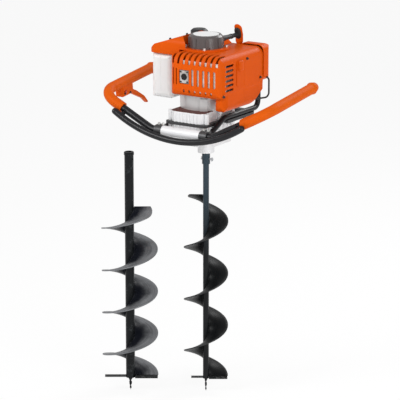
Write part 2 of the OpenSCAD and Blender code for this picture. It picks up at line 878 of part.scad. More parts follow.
module fan_housing() {
    base_z = flywheel_z - 4;
    color(orange) {
        ring(base_z, fan_top - base_z, fan_housing_d, fan_housing_d - 2 * cover_wall);
        ring(fan_top - cover_wall, cover_wall, fan_housing_d - over, starter_d - 24);
        ring(base_z, 3, fan_housing_d - over, crankcase_d - 30);
    }
}

filter_low = engine_z + 34;
filter_top = cover_top + 6;

module air_filter_cover()
    color(orange)
        difference() {
            moulded([filter_left, filter_y - 60, filter_low], [cover_right + 4, cover_back, filter_top],
                26, 24, 24);
            moulded([filter_left + cover_wall, filter_y - 60, filter_low + cover_wall],
                [cover_right + 4 - cover_wall, cover_back - cover_wall, filter_top - cover_wall],
                23, 21, 21);
            translate([0, filter_y - 100, engine_z]) cube([200, 100, 200]);
            // Way for the end of the plug lead
            translate([cover_right - 6, lead_y, cyl_z - 12]) rotate([0, 90, 0])
                cylinder(d = lead_d + 1, h = 20);
        }

filter_gap = 1.6;

module air_filter()
    color([0.12, 0.12, 0.12])
        moulded([filter_left + cover_wall + 5, filter_y + filter_gap, filter_low + cover_wall + 22],
            [cover_right - 24, cover_back - 10, filter_top - cover_wall - 5], 10, 10, 10);

intake_d = 28;
carb_z = cyl_z - 24;

module carburettor()
    color(alloy)
        difference() {
            union() {
                translate([port_x - 18, plug_y + port_lip + 8, carb_z]) cube([36, 34, 46]);
                translate([port_x, plug_y + port_lip, cyl_z]) rotate([-90, 0, 0])
                    cylinder(d = intake_d, h = filter_y + filter_gap - plug_y - port_lip);
            }
            translate([port_x, plug_y + port_lip - over, cyl_z]) rotate([-90, 0, 0])
                cylinder(d = 17, h = 200);
            translate([port_x, primer_y, carb_z - over])
                cylinder(d = primer_stem_d + 2 * running_gap, h = 12);
        }

primer_y = plug_y + port_lip + 8 + 17;
primer_travel = 5;
primer_stem_d = 8;

module primer_bulb()
    color([0.6, 0.1, 0.08])
        translate([port_x, primer_y, carb_z - primer_travel - clear_gap]) {
            cylinder(d = primer_stem_d, h = primer_travel + 4);
            translate([0, 0, -4]) cylinder(d = 24, h = 4);
            translate([0, 0, -4])
                intersection() {
                    sphere(d = 20);
                    translate([-12, -12, -12]) cube([24, 24, 13]);
                }
        }

choke_p = [filter_left - clear_gap, filter_y + 18, engine_z + 78];

module choke_lever()
    color(black)
        translate(choke_p) rotate([0, -90, 0]) {
            cylinder(d = 14, h = 5);
            translate([0, -4, 0]) cube([26, 8, 5]);
            translate([26, 0, 0]) cylinder(d = 10, h = 7);
        }

// Recoil starter

starter_z = fan_top;
rope_z = starter_z + 20;
rope_d = 4.5;
pulley_d = 66;
pulley_core_d = 52;
rope_x = pulley_core_d / 2 + rope_d / 2 + 0.3;
post_d = 12;
pull_y = 146;
neck_len = 34;
starter_wall = 8;
starter_top = starter_z + starter_h;
disc_sink = 1.5;
rib_start = 37;

module rope_way(y0, len)
    translate([rope_x, y0, rope_z]) rotate([-90, 0, 0]) cylinder(d = rope_d + 2, h = len);

module starter_housing()
    color(black)
        difference() {
            union() {
                difference() {
                    union() {
                        translate([0, 0, starter_z])
                            cylinder(d1 = starter_d, d2 = starter_d - 4, h = starter_h - 6);
                        translate([0, 0, starter_top - 6])
                            cylinder(d1 = starter_d - 4, d2 = starter_d - 16, h = 6);
                        // Upright ribs round the wall
                        for (k = [0 : 7]) rotate(rib_start + 45 * k)
                            translate([starter_d / 2 - 6, -6, starter_z]) cube([7, 12, starter_h - 9]);
                    }
                    translate([0, 0, starter_z - over])
                        cylinder(d = starter_d - 2 * starter_wall, h = starter_h - 3);
                }
                // Post that the pulley runs on
                translate([0, 0, starter_z + 6]) cylinder(d = post_d, h = starter_h - 8);
            }
            translate([0, 0, starter_top - disc_sink]) cylinder(d = starter_d - 30, h = 4);
            rope_way(0, starter_d);
        }

module starter_disc()
    color([0.95, 0.95, 0.95])
        translate([0, 0, starter_top - disc_sink]) cylinder(d = starter_d - 30 - 2 * clear_gap, h = 2.5);

module starter_pulley()
    color([0.15, 0.15, 0.15])
        difference() {
            union() {
                translate([0, 0, rope_z - 8]) cylinder(d = pulley_d, h = 4);
                translate([0, 0, rope_z - 4.5]) cylinder(d = pulley_core_d, h = 9);
                translate([0, 0, rope_z + 4]) cylinder(d = pulley_d, h = 4);
            }
            translate([0, 0, rope_z - 9]) cylinder(d = post_d + 2 * running_gap, h = 20);
        }

module starter_rope()
    color([0.1, 0.1, 0.1])
        translate([rope_x, 0, rope_z]) rotate([-90, 0, 0]) cylinder(d = rope_d, h = pull_y);

module rope_guide()
    color(orange)
        difference() {
            translate([rope_x - 11, 30, starter_z]) cube([22, pull_y - neck_len - 30 - clear_gap, 32]);
            rope_way(0, 200);
            translate([0, 0, starter_z - over]) cylinder(d = starter_d + 2 * weld_gap, h = 60);
        }

pull_r = 76;
pull_d = 22;

module starter_grip() {
    half = pull_len / 2 / pull_r * 180 / PI;
    color(orange) {
        difference() {
            translate([rope_x, pull_y - neck_len, rope_z]) rotate([-90, 0, 0])
                cylinder(d1 = 14, d2 = 17, h = neck_len + 8);
            translate([rope_x, pull_y - neck_len - over, rope_z]) rotate([-90, 0, 0])
                cylinder(d = rope_d, h = neck_len + over);
        }
        translate([rope_x, pull_y + pull_d / 2 + clear_gap - pull_r, rope_z]) rotate([90, 0, 90]) {
            rotate(-half) rotate_extrude(angle = 2 * half) translate([pull_r, 0]) circle(d = pull_d);
            for (s = [-1, 1]) rotate(s * half) translate([pull_r, 0, 0])
                sphere(d = pull_d + 4 * joint_step);
        }
    }
}

// Fuel

tank_left = -180;
tank_right = -collar_d / 2 - 6;
tank_front = -62;
tank_back = 170;
tank_top = engine_z + 132;
tank_low = engine_z - 20;
tank_wall = 3;
filler = [tank_right - 22, tank_back - 36];
filler_d = 42;
filler_top = tank_top + 40;

module fuel_tank()
    color([0.93, 0.93, 0.92])
        difference() {
            union() {
                moulded([tank_left, tank_front, tank_low], [tank_right, tank_back, tank_top], 24, 20, 20);
                translate([filler[0], filler[1], tank_top - 4])
                    cylinder(d = filler_d, h = filler_top - tank_top + 4);
            }
            moulded([tank_left + tank_wall, tank_front + tank_wall, tank_low + tank_wall],
                [tank_right - tank_wall, tank_back - tank_wall, tank_top - tank_wall], 21, 17, 17);
            translate([filler[0], filler[1], tank_top - 20])
                cylinder(d = filler_d - 6, h = filler_top - tank_top + 20 + over);
        }

flute_count = 16;
cap_skirt = 16;

module fuel_cap()
    color(black)
        translate([filler[0], filler[1], 0])
            difference() {
                union() {
                    translate([0, 0, filler_top - cap_skirt]) cylinder(d = fuel_cap_d, h = cap_skirt + 8);
                    translate([0, 0, filler_top + 8])
                        cylinder(d1 = fuel_cap_d, d2 = fuel_cap_d - 14, h = 6);
                }
                translate([0, 0, filler_top - cap_skirt - over])
                    cylinder(d = filler_d + 2 * clear_gap, h = cap_skirt + over + clear_gap);
                for (k = [0 : flute_count - 1]) rotate(360 / flute_count * k)
                    translate([fuel_cap_d / 2 + 1.5, 0, filler_top - cap_skirt - over])
                        cylinder(d = 6, h = 40, $fn = 24);
            }

wing_drop = 30;
wing_back = 96;
wing_over = 5;
wing_top = engine_z + 192;

module tank_cover()
    color(orange)
        difference() {
            intersection() {
                moulded([tank_left - wing_over, tank_front - wing_over, tank_top - 40],
                    [-20, wing_back, wing_top + 2], 26, 8, 30);
                translate([0, wing_back, 0]) rotate([90, 0, 0])
                    linear_extrude(wing_back - tank_front + wing_over)
                        polygon([
                            [tank_left - wing_over, tank_top], [-20, tank_top],
                            [-20, wing_top], [-70, wing_top],
                            [tank_left + 20, wing_top - wing_drop], [tank_left - wing_over, tank_top + 8]
                        ]);
            }
            translate([0, 0, tank_top - 50]) cylinder(d = fan_housing_d + 2 * clear_gap, h = 200);
            translate([cover_left - clear_gap, -200, engine_z])
                cube([200, 400, cover_top + clear_gap - engine_z]);
        }

// Handle frame

bar_z = plate_z - 21;
grip_z = bar_z + arm_rise;
bar_bend = 60;
grip_start = 234;
left_end = [-handle_half, grip_back, grip_z + grip_rise];
left_corner = [-handle_half, -bar_front, grip_z];
right_end = [handle_half, grip_back, grip_z + grip_rise];
right_corner = [handle_half, -bar_front, grip_z];

// Height of the arm's centre line at a distance x from the middle
function arm_z(x) = bar_z + arm_rise * (x - bar_half) / (handle_half - bar_half);

module handle_tube()
    color(black)
        bent_tube(
            [left_end, left_corner, [-bar_half, -bar_front, bar_z], [bar_half, -bar_front, bar_z],
                right_corner, right_end],
            [grip_bend, bar_bend, bar_bend, grip_bend], tube_d, tube_d - 2 * tube_wall
        );

clamp_x = 88;
clamp_w = 28;
clamp_d = tube_d + 10;
clamp_back = 18;
sleeve_d = clamp_d - 1;

bow_half = 246;
bow_y = -bar_front - clamp_d / 2 - bow_d / 2 - weld_gap;
bow_r = (bow_half * bow_half + bow_sag * bow_sag) / 2 / bow_sag;
bow_low_z = bar_z - 22;

module bow_tube() {
    a = asin(bow_half / bow_r);
    stub_d = 14;
    stub_x = 222;
    color(black) {
        translate([0, bow_y, bow_low_z + bow_r]) rotate([90, 0, 0]) {
            rotate(-90 - a) rotate_extrude(angle = 2 * a) translate([bow_r, 0]) circle(d = bow_d);
            for (s = [-1, 1]) rotate(-90 + s * a) translate([bow_r, 0, 0])
                sphere(d = bow_d + 4 * joint_step);
        }
        // Welded stubs near its ends, cut to the round of the arms
        for (s = [-1, 1]) {
            p = [s * stub_x, bow_y, bow_low_z + bow_r - sqrt(bow_r * bow_r - stub_x * stub_x)];
            q = [s * stub_x, -bar_front, arm_z(stub_x)];
            difference() {
                bar(p, q - unit(q - p) * (tube_d / 2 - 4), stub_d);
                bar([s * (stub_x - 30), -bar_front, arm_z(stub_x - 30)],
                    [s * (stub_x + 30), -bar_front, arm_z(stub_x + 30)], tube_d + 2 * weld_gap);
            }
        }
    }
}

rail_z = top_z + rail_d / 2 + joint_step + weld_gap;
rail_back = plate_back + 10;
rail_rise = 62;
rail_bend = 24;
// Uprights at the back: a thicker length that a stand or clamp slides on
upright_d = rail_d + 0.5;
upright_lap = 1;

module side_rails()
    color(black)
        for (s = [-1, 1]) {
            foot = [s * rail_x, rail_back, rail_z];
            bent_tube(
                [
                    [s * clamp_x, clamp_back - bar_front, bar_z],
                    [s * clamp_x, clamp_back - bar_front + 14, bar_z],
                    [s * rail_x, -30, rail_z], foot, foot + [0, 0, rail_rise]
                ],
                [20, 40, rail_bend], rail_d
            );
            bar(foot + [0, 0, rail_bend - upright_lap], foot + [0, 0, rail_rise + upright_lap], upright_d);
        }

// Thick sleeve on the cross bar between the clamps
module bar_sleeve() {
    half = clamp_x - clamp_w / 2 - weld_gap;
    color([0.9, 0.9, 0.9])
        bar([-half, -bar_front, bar_z], [half, -bar_front, bar_z], sleeve_d, tube_d + 2 * weld_gap);
}

module handle_clamps()
    color(alloy)
        for (s = [-1, 1])
            translate([s * clamp_x - clamp_w / 2, -bar_front, bar_z])
                difference() {
                    union() {
                        rotate([0, 90, 0]) cylinder(d = clamp_d, h = clamp_w);
                        translate([0, 0, -clamp_d / 2]) cube([clamp_w, clamp_back, clamp_d]);
                    }
                    translate([-over, 0, 0]) rotate([0, 90, 0])
                        cylinder(d = tube_d + 2 * weld_gap, h = clamp_w + 2 * over);
                }

grip_cap = 6;
stop_len = 26;
// Bore of the rubber grips, and steps between their straights, bend and stop ring
grip_bore = tube_d + 0.8;
grip_step = 0.4;
bore_step = 0.2;
grip_lap = 1;

// Rubber grip on one arm, round the bend and along the handle to its end
module grip(s) {
    corner = s < 0 ? left_corner : right_corner;
    tip = s < 0 ? left_end : right_end;
    first = [s * grip_start, -bar_front, arm_z(grip_start)];
    along = unit(corner - first);
    back = unit(tip - corner);
    straight = bend_take(first, corner, tip, grip_bend) - grip_lap;
    bar(first, corner - along * straight, grip_d, grip_bore);
    bend(first, corner, tip, grip_bend, grip_d - 2 * grip_step, grip_bore + 2 * bore_step);
    bar(corner + back * straight, tip - back * stop_len / 2, grip_d, grip_bore);
    // Stop ring that keeps the hand on, and the closed end
    aimed(tip - stop_len * back, tip)
        difference() {
            union() {
                cylinder(d1 = grip_d - 1, d2 = grip_d + 5, h = stop_len / 2);
                translate([0, 0, stop_len / 2])
                    cylinder(d1 = grip_d + 5, d2 = grip_d - 6, h = stop_len / 2 + grip_cap);
            }
            translate([0, 0, -over]) cylinder(d = grip_bore - 2 * bore_step,
                h = stop_len + over + weld_gap);
        }
}

module left_grip() color(orange) grip(-1);

module right_grip() color(orange) grip(1);

// Throttle under the left grip

grip_tilt = atan2(grip_rise, grip_back + bar_front);
throttle_y = -22;
throttle_w = 32;
throttle_low = -46;
throttle_len = 62;
lever_w = 12;
lever_len = 124;
lever_drop = 31;
pivot_d = 5;
lever_pivot = [26, -36];
switch_w = 9;
switch_y = -14;
switch_z = -30;

// Children stand on the left grip's centre line, +Y towards the operator
module on_left_grip()
    translate([-handle_half, throttle_y,
        grip_z + grip_rise * (throttle_y + bar_front) / (grip_back + bar_front)])
        rotate([grip_tilt, 0, 0]) children();

module throttle_housing()
    color(orange)
        on_left_grip()
            difference() {
                moulded([-throttle_w / 2, -throttle_len / 2, throttle_low],
                    [throttle_w / 2, throttle_len / 2 + 6, -2], 8, 6, 8);
                translate([0, -throttle_len, 0]) rotate([-90, 0, 0])
                    cylinder(d = grip_d + 2 * weld_gap, h = 2 * throttle_len);
                // Slot for the lever, and the bore of its pin
                translate([-lever_w / 2 - clear_gap, lever_pivot[0] - 13, throttle_low - over])
                    cube([lever_w + 2 * clear_gap, 40, -throttle_low - grip_d / 2 - 1]);
                translate([-throttle_w, lever_pivot[0], lever_pivot[1]]) rotate([0, 90, 0])
                    cylinder(d = pivot_d + 2 * running_gap, h = 2 * throttle_w);
                // Pocket of the stop switch
                translate([throttle_w / 2 - 4, switch_y - switch_w / 2 - clear_gap,
                    switch_z - switch_w / 2 - clear_gap])
                    cube([5, switch_w + 2 * clear_gap + switch_travel, switch_w + 2 * clear_gap]);
            }

switch_travel = 5;

module throttle_lever()
    color(orange)
        on_left_grip()
            translate([0, lever_pivot[0], lever_pivot[1]]) {
                rotate([0, 90, 0]) translate([0, 0, -throttle_w / 2])
                    cylinder(d = pivot_d, h = throttle_w);
                translate([-lever_w / 2, 0, 0]) rotate([90, 0, 90]) linear_extrude(lever_w) {
                    circle(d = 16);
                    rotate(-lever_drop)
                        polygon([
                            [0, 8], [40, 9], [lever_len - 30, 4], [lever_len, -8],
                            [lever_len - 4, -13], [lever_len - 34, -6], [40, -7], [0, -8]
                        ]);
                }
            }

module stop_switch()
    color([0.55, 0.05, 0.04])
        on_left_grip()
            translate([throttle_w / 2 - 4 + clear_gap, switch_y - switch_w / 2, switch_z - switch_w / 2])
                cube([7, switch_w, switch_w]);

// Spare bit, stood on its point beside the machine

module at_spare() translate([spare_x, spare_y, 0]) children();

spare_pin_z = spare_h - 24;

module spare_tube()
    color(bit_paint)
        at_spare()
            difference() {
                union() {
                    translate([0, 0, point_len]) cylinder(d = spare_tube_d, h = spare_h - point_len);
                    translate([0, 0, spare_h - 10]) cylinder(d = spare_tube_d + 3, h = 8);
                }
                translate([0, 0, spare_h - spare_socket_depth])
                    cylinder(d = spare_socket_d, h = spare_socket_depth + over);
                translate([-spare_tube_d, 0, spare_pin_z]) rotate([0, 90, 0])
                    cylinder(d = pin_d + 2 * running_gap, h = 2 * spare_tube_d);
            }

module spare_flight()
    color(bit_paint)
        at_spare()
            translate([0, 0, flight_z])
                flight(spare_tube_d / 2 + weld_gap, spare_d / 2, spare_pitch, spare_turns, flight_t,
                    flight_angle);

module spare_blades()
    color(steel) at_spare() blades(spare_tube_d / 2, spare_d / 2 - 2, spare_d / 2 - 8, 34, flight_angle);

module spare_point()
    color(bit_paint) at_spare() translate([0, 0, point_len]) pilot_point(12);

bit_shaft();
bit_flight();
bit_blades();
bit_point();
cross_pin();
output_shaft();
output_wheel();
output_bearings();
bearing_cap();
bearing_cap_bolts();
layshaft();
layshaft_wheel();
case_bearings();
input_pinion();
gear_case_lower();
frame_plate();
gear_case_upper();
gear_case_bolts();
clutch_housing();
clutch_drum();
clutch_shoes();
crankshaft();
flywheel();
crankcase();
engine_cylinder();
spark_plug();
plug_boot();
ignition_lead();
muffler();
muffler_cover();
rear_shroud();
fan_housing();
starter_housing();
starter_disc();
starter_pulley();
starter_rope();
rope_guide();
starter_grip();
tank_cover();
fuel_tank();
fuel_cap();
carburettor();
air_filter();
air_filter_cover();
choke_lever();
primer_bulb();
handle_tube();
bar_sleeve();
handle_clamps();
bow_tube();
side_rails();
left_grip();
right_grip();
throttle_housing();
throttle_lever();
stop_switch();
spare_tube();
spare_flight();
spare_blades();
spare_point();
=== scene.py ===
# Earth auger: a petrol engine on a gearbox and handle frame with its drill bit fitted,
# and a wider spare bit that stands beside it. Metres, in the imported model's own frame.
import math

import bmesh
import bpy
from mathutils import Matrix, Vector


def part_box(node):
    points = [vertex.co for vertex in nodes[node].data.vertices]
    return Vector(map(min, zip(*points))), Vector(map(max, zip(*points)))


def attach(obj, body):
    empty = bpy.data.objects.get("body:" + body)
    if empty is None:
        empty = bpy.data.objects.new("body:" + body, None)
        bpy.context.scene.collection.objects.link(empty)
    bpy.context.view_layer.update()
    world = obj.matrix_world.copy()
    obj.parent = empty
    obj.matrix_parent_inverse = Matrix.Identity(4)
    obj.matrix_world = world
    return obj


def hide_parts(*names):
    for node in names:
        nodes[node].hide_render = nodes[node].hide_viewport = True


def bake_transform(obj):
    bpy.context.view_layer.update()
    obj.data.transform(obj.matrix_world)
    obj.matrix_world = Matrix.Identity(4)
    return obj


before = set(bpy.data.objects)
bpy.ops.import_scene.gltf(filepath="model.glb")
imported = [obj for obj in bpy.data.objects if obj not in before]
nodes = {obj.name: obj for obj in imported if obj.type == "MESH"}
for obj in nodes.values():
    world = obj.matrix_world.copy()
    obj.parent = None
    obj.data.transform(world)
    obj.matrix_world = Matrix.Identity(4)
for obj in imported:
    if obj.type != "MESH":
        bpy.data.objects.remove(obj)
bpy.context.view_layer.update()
scene = bpy.context.scene

# Camera: a long lens at the photograph's angle, from the exhaust side and a little above.
# The square picture is 1.34 m high at the auger.
aim = Vector((-0.024, 0.0, 0.669))
azimuth, elevation = math.radians(33), math.radians(14.5)
distance, picture, film = 8.0, 1.34, 36
sight = Vector((math.sin(azimuth), -math.cos(azimuth), math.tan(elevation))).normalized()
camera = bpy.data.objects.new("camera", bpy.data.cameras.new("camera"))
camera.data.sensor_width = film
camera.data.lens = film * distance / picture
camera.location = aim + distance * sight
camera.rotation_euler = (-sight).to_track_quat("-Z", "Y").to_euler()
scene.collection.objects.link(camera)
scene.camera = camera

# Ignition lead: rubber-covered high-tension cable from the plug boot, down out of the skirt,
# round the back corner and up into the filter cover. A free loop held at both ends.


def finish(name, color, roughness, metallic=0.0, gloss=0.5):
    """A material with its principled shader and object coordinates."""
    made = bpy.data.materials.new(name)
    made.use_nodes = True
    made.diffuse_color = (*color, 1)
    tree = made.node_tree
    shader = tree.nodes["Principled BSDF"]
    shader.inputs["Base Color"].default_value = (*color, 1)
    shader.inputs["Roughness"].default_value = roughness
    shader.inputs["Metallic"].default_value = metallic
    shader.inputs["Specular IOR Level"].default_value = gloss
    place = tree.nodes.new("ShaderNodeTexCoord")
    place.name = "place"
    return made, tree, shader


def effect(name, inputs, outputs):
    """An empty shader node group with the named number inputs and outputs."""
    group = bpy.data.node_groups.new(name, "ShaderNodeTree")
    group.interface.new_socket("Place", in_out="INPUT", socket_type="NodeSocketVector")
    for label, value in inputs.items():
        socket = group.interface.new_socket(label, in_out="INPUT", socket_type="NodeSocketFloat")
        socket.default_value = value
    for label in outputs:
        group.interface.new_socket(label, in_out="OUTPUT", socket_type="NodeSocketFloat")
    return group, group.nodes.new("NodeGroupInput"), group.nodes.new("NodeGroupOutput")


def use(tree, group, **values):
    """Places an effect in a material, on object coordinates, with its own values."""
    node = tree.nodes.new("ShaderNodeGroup")
    node.node_tree = group
    tree.links.new(tree.nodes["place"].outputs["Object"], node.inputs["Place"])
    for label, value in values.items():
        node.inputs[label.replace("_", " ")].default_value = value
    return node


def raise_surface(tree, shader, height, strength, depth):
    """Drives the shader's normal from a height."""
    bump = tree.nodes.new("ShaderNodeBump")
    bump.inputs["Strength"].default_value = strength
    bump.inputs["Distance"].default_value = depth
    tree.links.new(height, bump.inputs["Height"])
    tree.links.new(bump.outputs["Normal"], shader.inputs["Normal"])


def tint(tree, shader, mask, low, high):
    """Base colour between two colours by a mask."""
    mix = tree.nodes.new("ShaderNodeMix")
    mix.data_type = "RGBA"
    mix.inputs["A"].default_value = (*low, 1)
    mix.inputs["B"].default_value = (*high, 1)
    tree.links.new(mask, mix.inputs["Factor"])
    tree.links.new(mix.outputs["Result"], shader.inputs["Base Color"])


def vary(tree, socket, mask, low, high):
    """A shader value between two numbers by a mask."""
    span = tree.nodes.new("ShaderNodeMapRange")
    span.inputs["To Min"].default_value = low
    span.inputs["To Max"].default_value = high
    tree.links.new(mask, span.inputs["Value"])
    tree.links.new(span.outputs["Result"], socket)


# Grain of moulded, cast and painted skins: fine pores, and a slower unevenness.
grain, g_in, g_out = effect("surface_grain", {"Scale": 900.0, "Slow Scale": 40.0}, ["Height", "Blotch"])
fine = grain.nodes.new("ShaderNodeTexNoise")
fine.inputs["Detail"].default_value = 3
slow = grain.nodes.new("ShaderNodeTexNoise")
slow.inputs["Detail"].default_value = 2
for tex, label in ((fine, "Scale"), (slow, "Slow Scale")):
    grain.links.new(g_in.outputs["Place"], tex.inputs["Vector"])
    grain.links.new(g_in.outputs[label], tex.inputs["Scale"])
grain.links.new(fine.outputs["Fac"], g_out.inputs["Height"])
grain.links.new(slow.outputs["Fac"], g_out.inputs["Blotch"])

lead_rubber, tree, shader = finish("lead_rubber", (0.012, 0.012, 0.013), 0.5)
skin = use(tree, grain, Scale=1500.0, Slow_Scale=90.0)
vary(tree, shader.inputs["Roughness"], skin.outputs["Blotch"], 0.38, 0.62)
raise_surface(tree, shader, skin.outputs["Height"], 0.25, 0.0004)


def rounded(corners, radii, steps=6):
    """Points along a route through the corners, with an arc of each radius at the inner ones."""
    points = [corners[0]]
    for a, b, c, r in zip(corners, corners[1:], corners[2:], radii):
        u, w = (b - a).normalized(), (c - b).normalized()
        turn = u.angle(w)
        n = (w - u * u.dot(w)).normalized()
        centre = b - u * r * math.tan(turn / 2) + n * r
        for k in range(steps + 1):
            t = turn * k / steps
            points.append(centre + r * (u * math.sin(t) - n * math.cos(t)))
    return points + [corners[-1]]


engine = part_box("crankcase")[0].z
plug_z, low_z, entry_z = engine + 0.058, engine - 0.022, engine + 0.046
lead_d = 0.006
lead_path = rounded([Vector(p) for p in (
    (0.124, 0.084, plug_z), (0.124, 0.100, plug_z), (0.124, 0.100, low_z),
    (0.149, 0.154, low_z), (0.149, 0.154, entry_z), (0.120, 0.154, entry_z))],
    (0.012, 0.014, 0.016, 0.012))
lead_curve = bpy.data.curves.new("plug_lead", "CURVE")
lead_curve.dimensions = "3D"
lead_curve.bevel_depth = lead_d / 2
lead_curve.bevel_resolution = 4
lead_curve.use_fill_caps = True
line = lead_curve.splines.new("POLY")
line.points.add(len(lead_path) - 1)
for spot, p in zip(line.points, lead_path):
    spot.co = (*p, 1)
lead = bpy.data.objects.new("plug_lead", lead_curve)
lead.data.materials.append(lead_rubber)
scene.collection.objects.link(lead)
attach(lead, "machine")
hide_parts("ignition_lead")


def dress(material, *names):
    """Gives CAD nodes their finish."""
    for name in names:
        piece = nodes[name]
        piece.data.materials.clear()
        piece.data.materials.append(material)


def piece_from(name, bm, material, body, sharp=35):
    """A finished piece from a bmesh, riding on a body."""
    mesh = bpy.data.meshes.new(name)
    bm.to_mesh(mesh)
    bm.free()
    mesh.materials.append(material)
    for face in mesh.polygons:
        face.use_smooth = True
    mesh.set_sharp_from_angle(angle=math.radians(sharp))
    made = bpy.data.objects.new(name, mesh)
    scene.collection.objects.link(made)
    if body:
        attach(made, body)
    return made


dress(lead_rubber, "plug_boot")

# Starter rope: braided cord from the pulley, through the nozzle, to the knot inside the T-grip. At rest the
# nozzle and the grip's neck hide it.
rope_cord, tree, shader = finish("rope_cord", (0.02, 0.02, 0.021), 0.8)
braid = tree.nodes.new("ShaderNodeTexWave")
braid.inputs["Scale"].default_value = 160
braid.inputs["Distortion"].default_value = 1.5
tree.links.new(tree.nodes["place"].outputs["Object"], braid.inputs["Vector"])
tint(tree, shader, braid.outputs["Fac"], (0.012, 0.012, 0.013), (0.06, 0.06, 0.06))
raise_surface(tree, shader, braid.outputs["Fac"], 0.6, 0.0006)

rope_low, rope_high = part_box("starter_rope")
rope_mid = (rope_low + rope_high) / 2
rope_d, rope_len, rope_steps = 0.0045, rope_high.y - rope_low.y, 20
rope_path = [(rope_mid.x, rope_low.y + rope_len * k / rope_steps, rope_mid.z)
             for k in range(rope_steps + 1)]


def edges_of(verts):
    """The edges that meet at the given corners, each once."""
    return list(dict.fromkeys(e for v in verts for e in v.link_edges))


def draw_out(bm, edges, vec):
    """Extrudes edges along a vector; gives the new edges and their corners."""
    grown = bmesh.ops.extrude_edge_only(bm, edges=edges)["geom"]
    moved = [g for g in grown if isinstance(g, bmesh.types.BMVert)]
    drawn = [g for g in grown if isinstance(g, bmesh.types.BMEdge)]
    bmesh.ops.translate(bm, vec=vec, verts=moved)
    return [e for e in drawn if e.verts[0] in moved and e.verts[1] in moved], moved


bm = bmesh.new()
across = Matrix.Translation(rope_path[0]) @ Matrix.Rotation(math.radians(90), 4, "X")
ring = bmesh.ops.create_circle(bm, segments=16, radius=rope_d / 2, matrix=across)["verts"]
loop = edges_of(ring)
for k in range(rope_steps):
    loop = draw_out(bm, loop, (0, rope_len / rope_steps, 0))[0]
bmesh.ops.holes_fill(bm, edges=[e for e in bm.edges if e.is_boundary], sides=0)
bmesh.ops.recalc_face_normals(bm, faces=bm.faces)
pull_cord = piece_from("pull_cord", bm, rope_cord, None)
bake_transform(pull_cord)
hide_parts("starter_rope")

# Fitted bit: a solid shaft with a right-handed flight welded on, two cutting blades and a twisted
# pilot point. Black enamel, rubbed bare along the rim and scuffed where soil has run over it.
scuff, g_in, g_out = effect("paint_scuff", {"Scale": 60.0, "Cover": 0.5, "Edge": 0.08}, ["Mask"])
broad = scuff.nodes.new("ShaderNodeTexNoise")
broad.inputs["Detail"].default_value = 6
broad.inputs["Roughness"].default_value = 0.65
scuff.links.new(g_in.outputs["Place"], broad.inputs["Vector"])
scuff.links.new(g_in.outputs["Scale"], broad.inputs["Scale"])
low_edge = scuff.nodes.new("ShaderNodeMath")
low_edge.operation = "SUBTRACT"
scuff.links.new(g_in.outputs["Cover"], low_edge.inputs[0])
scuff.links.new(g_in.outputs["Edge"], low_edge.inputs[1])
step = scuff.nodes.new("ShaderNodeMapRange")
step.interpolation_type = "SMOOTHSTEP"
scuff.links.new(broad.outputs["Fac"], step.inputs["Value"])
scuff.links.new(low_edge.outputs[0], step.inputs["From Min"])
scuff.links.new(g_in.outputs["Cover"], step.inputs["From Max"])
scuff.links.new(step.outputs["Result"], g_out.inputs["Mask"])

# Rubbed rim of a flight: the distance from an upright axis, shaken by noise, mapped to a mask. The
# scratches follow the turning, so they change fast with that distance and slowly with the height.
rim, g_in, g_out = effect(
    "rim_rub",
    {"Axis X": 0.0, "Axis Y": 0.0, "Inner": 0.06, "Outer": 0.075, "Wobble": 0.02, "Scale": 30.0},
    ["Mask", "Scratch"])
split = rim.nodes.new("ShaderNodeSeparateXYZ")
rim.links.new(g_in.outputs["Place"], split.inputs[0])
flat = rim.nodes.new("ShaderNodeCombineXYZ")
for axis in "XY":
    off = rim.nodes.new("ShaderNodeMath")
    off.operation = "SUBTRACT"
    rim.links.new(split.outputs[axis], off.inputs[0])
    rim.links.new(g_in.outputs["Axis " + axis], off.inputs[1])
    rim.links.new(off.outputs[0], flat.inputs[axis])
length = rim.nodes.new("ShaderNodeVectorMath")
length.operation = "LENGTH"
rim.links.new(flat.outputs[0], length.inputs[0])
patch = rim.nodes.new("ShaderNodeTexNoise")
patch.inputs["Detail"].default_value = 5
rim.links.new(g_in.outputs["Place"], patch.inputs["Vector"])
rim.links.new(g_in.outputs["Scale"], patch.inputs["Scale"])
centred = rim.nodes.new("ShaderNodeMath")
centred.operation = "SUBTRACT"
centred.inputs[1].default_value = 0.5
rim.links.new(patch.outputs["Fac"], centred.inputs[0])
shaken = rim.nodes.new("ShaderNodeMath")
shaken.operation = "MULTIPLY_ADD"
rim.links.new(centred.outputs[0], shaken.inputs[0])
rim.links.new(g_in.outputs["Wobble"], shaken.inputs[1])
rim.links.new(length.outputs["Value"], shaken.inputs[2])
reach = rim.nodes.new("ShaderNodeMapRange")
reach.interpolation_type = "SMOOTHSTEP"
rim.links.new(shaken.outputs[0], reach.inputs["Value"])
rim.links.new(g_in.outputs["Inner"], reach.inputs["From Min"])
rim.links.new(g_in.outputs["Outer"], reach.inputs["From Max"])
rim.links.new(reach.outputs["Result"], g_out.inputs["Mask"])
slow_rise = rim.nodes.new("ShaderNodeMath")
slow_rise.operation = "MULTIPLY"
slow_rise.inputs[1].default_value = 0.06
rim.links.new(split.outputs["Z"], slow_rise.inputs[0])
track = rim.nodes.new("ShaderNodeCombineXYZ")
rim.links.new(length.outputs["Value"], track.inputs["X"])
rim.links.new(slow_rise.outputs[0], track.inputs["Y"])
scratch = rim.nodes.new("ShaderNodeTexNoise")
scratch.inputs["Scale"].default_value = 420
scratch.inputs["Detail"].default_value = 4
rim.links.new(track.outputs[0], scratch.inputs["Vector"])
sharp_line = rim.nodes.new("ShaderNodeMapRange")
sharp_line.inputs["From Min"].default_value = 0.35
sharp_line.inputs["From Max"].default_value = 0.65
rim.links.new(scratch.outputs["Fac"], sharp_line.inputs["Value"])
rim.links.new(sharp_line.outputs["Result"], g_out.inputs["Scratch"])


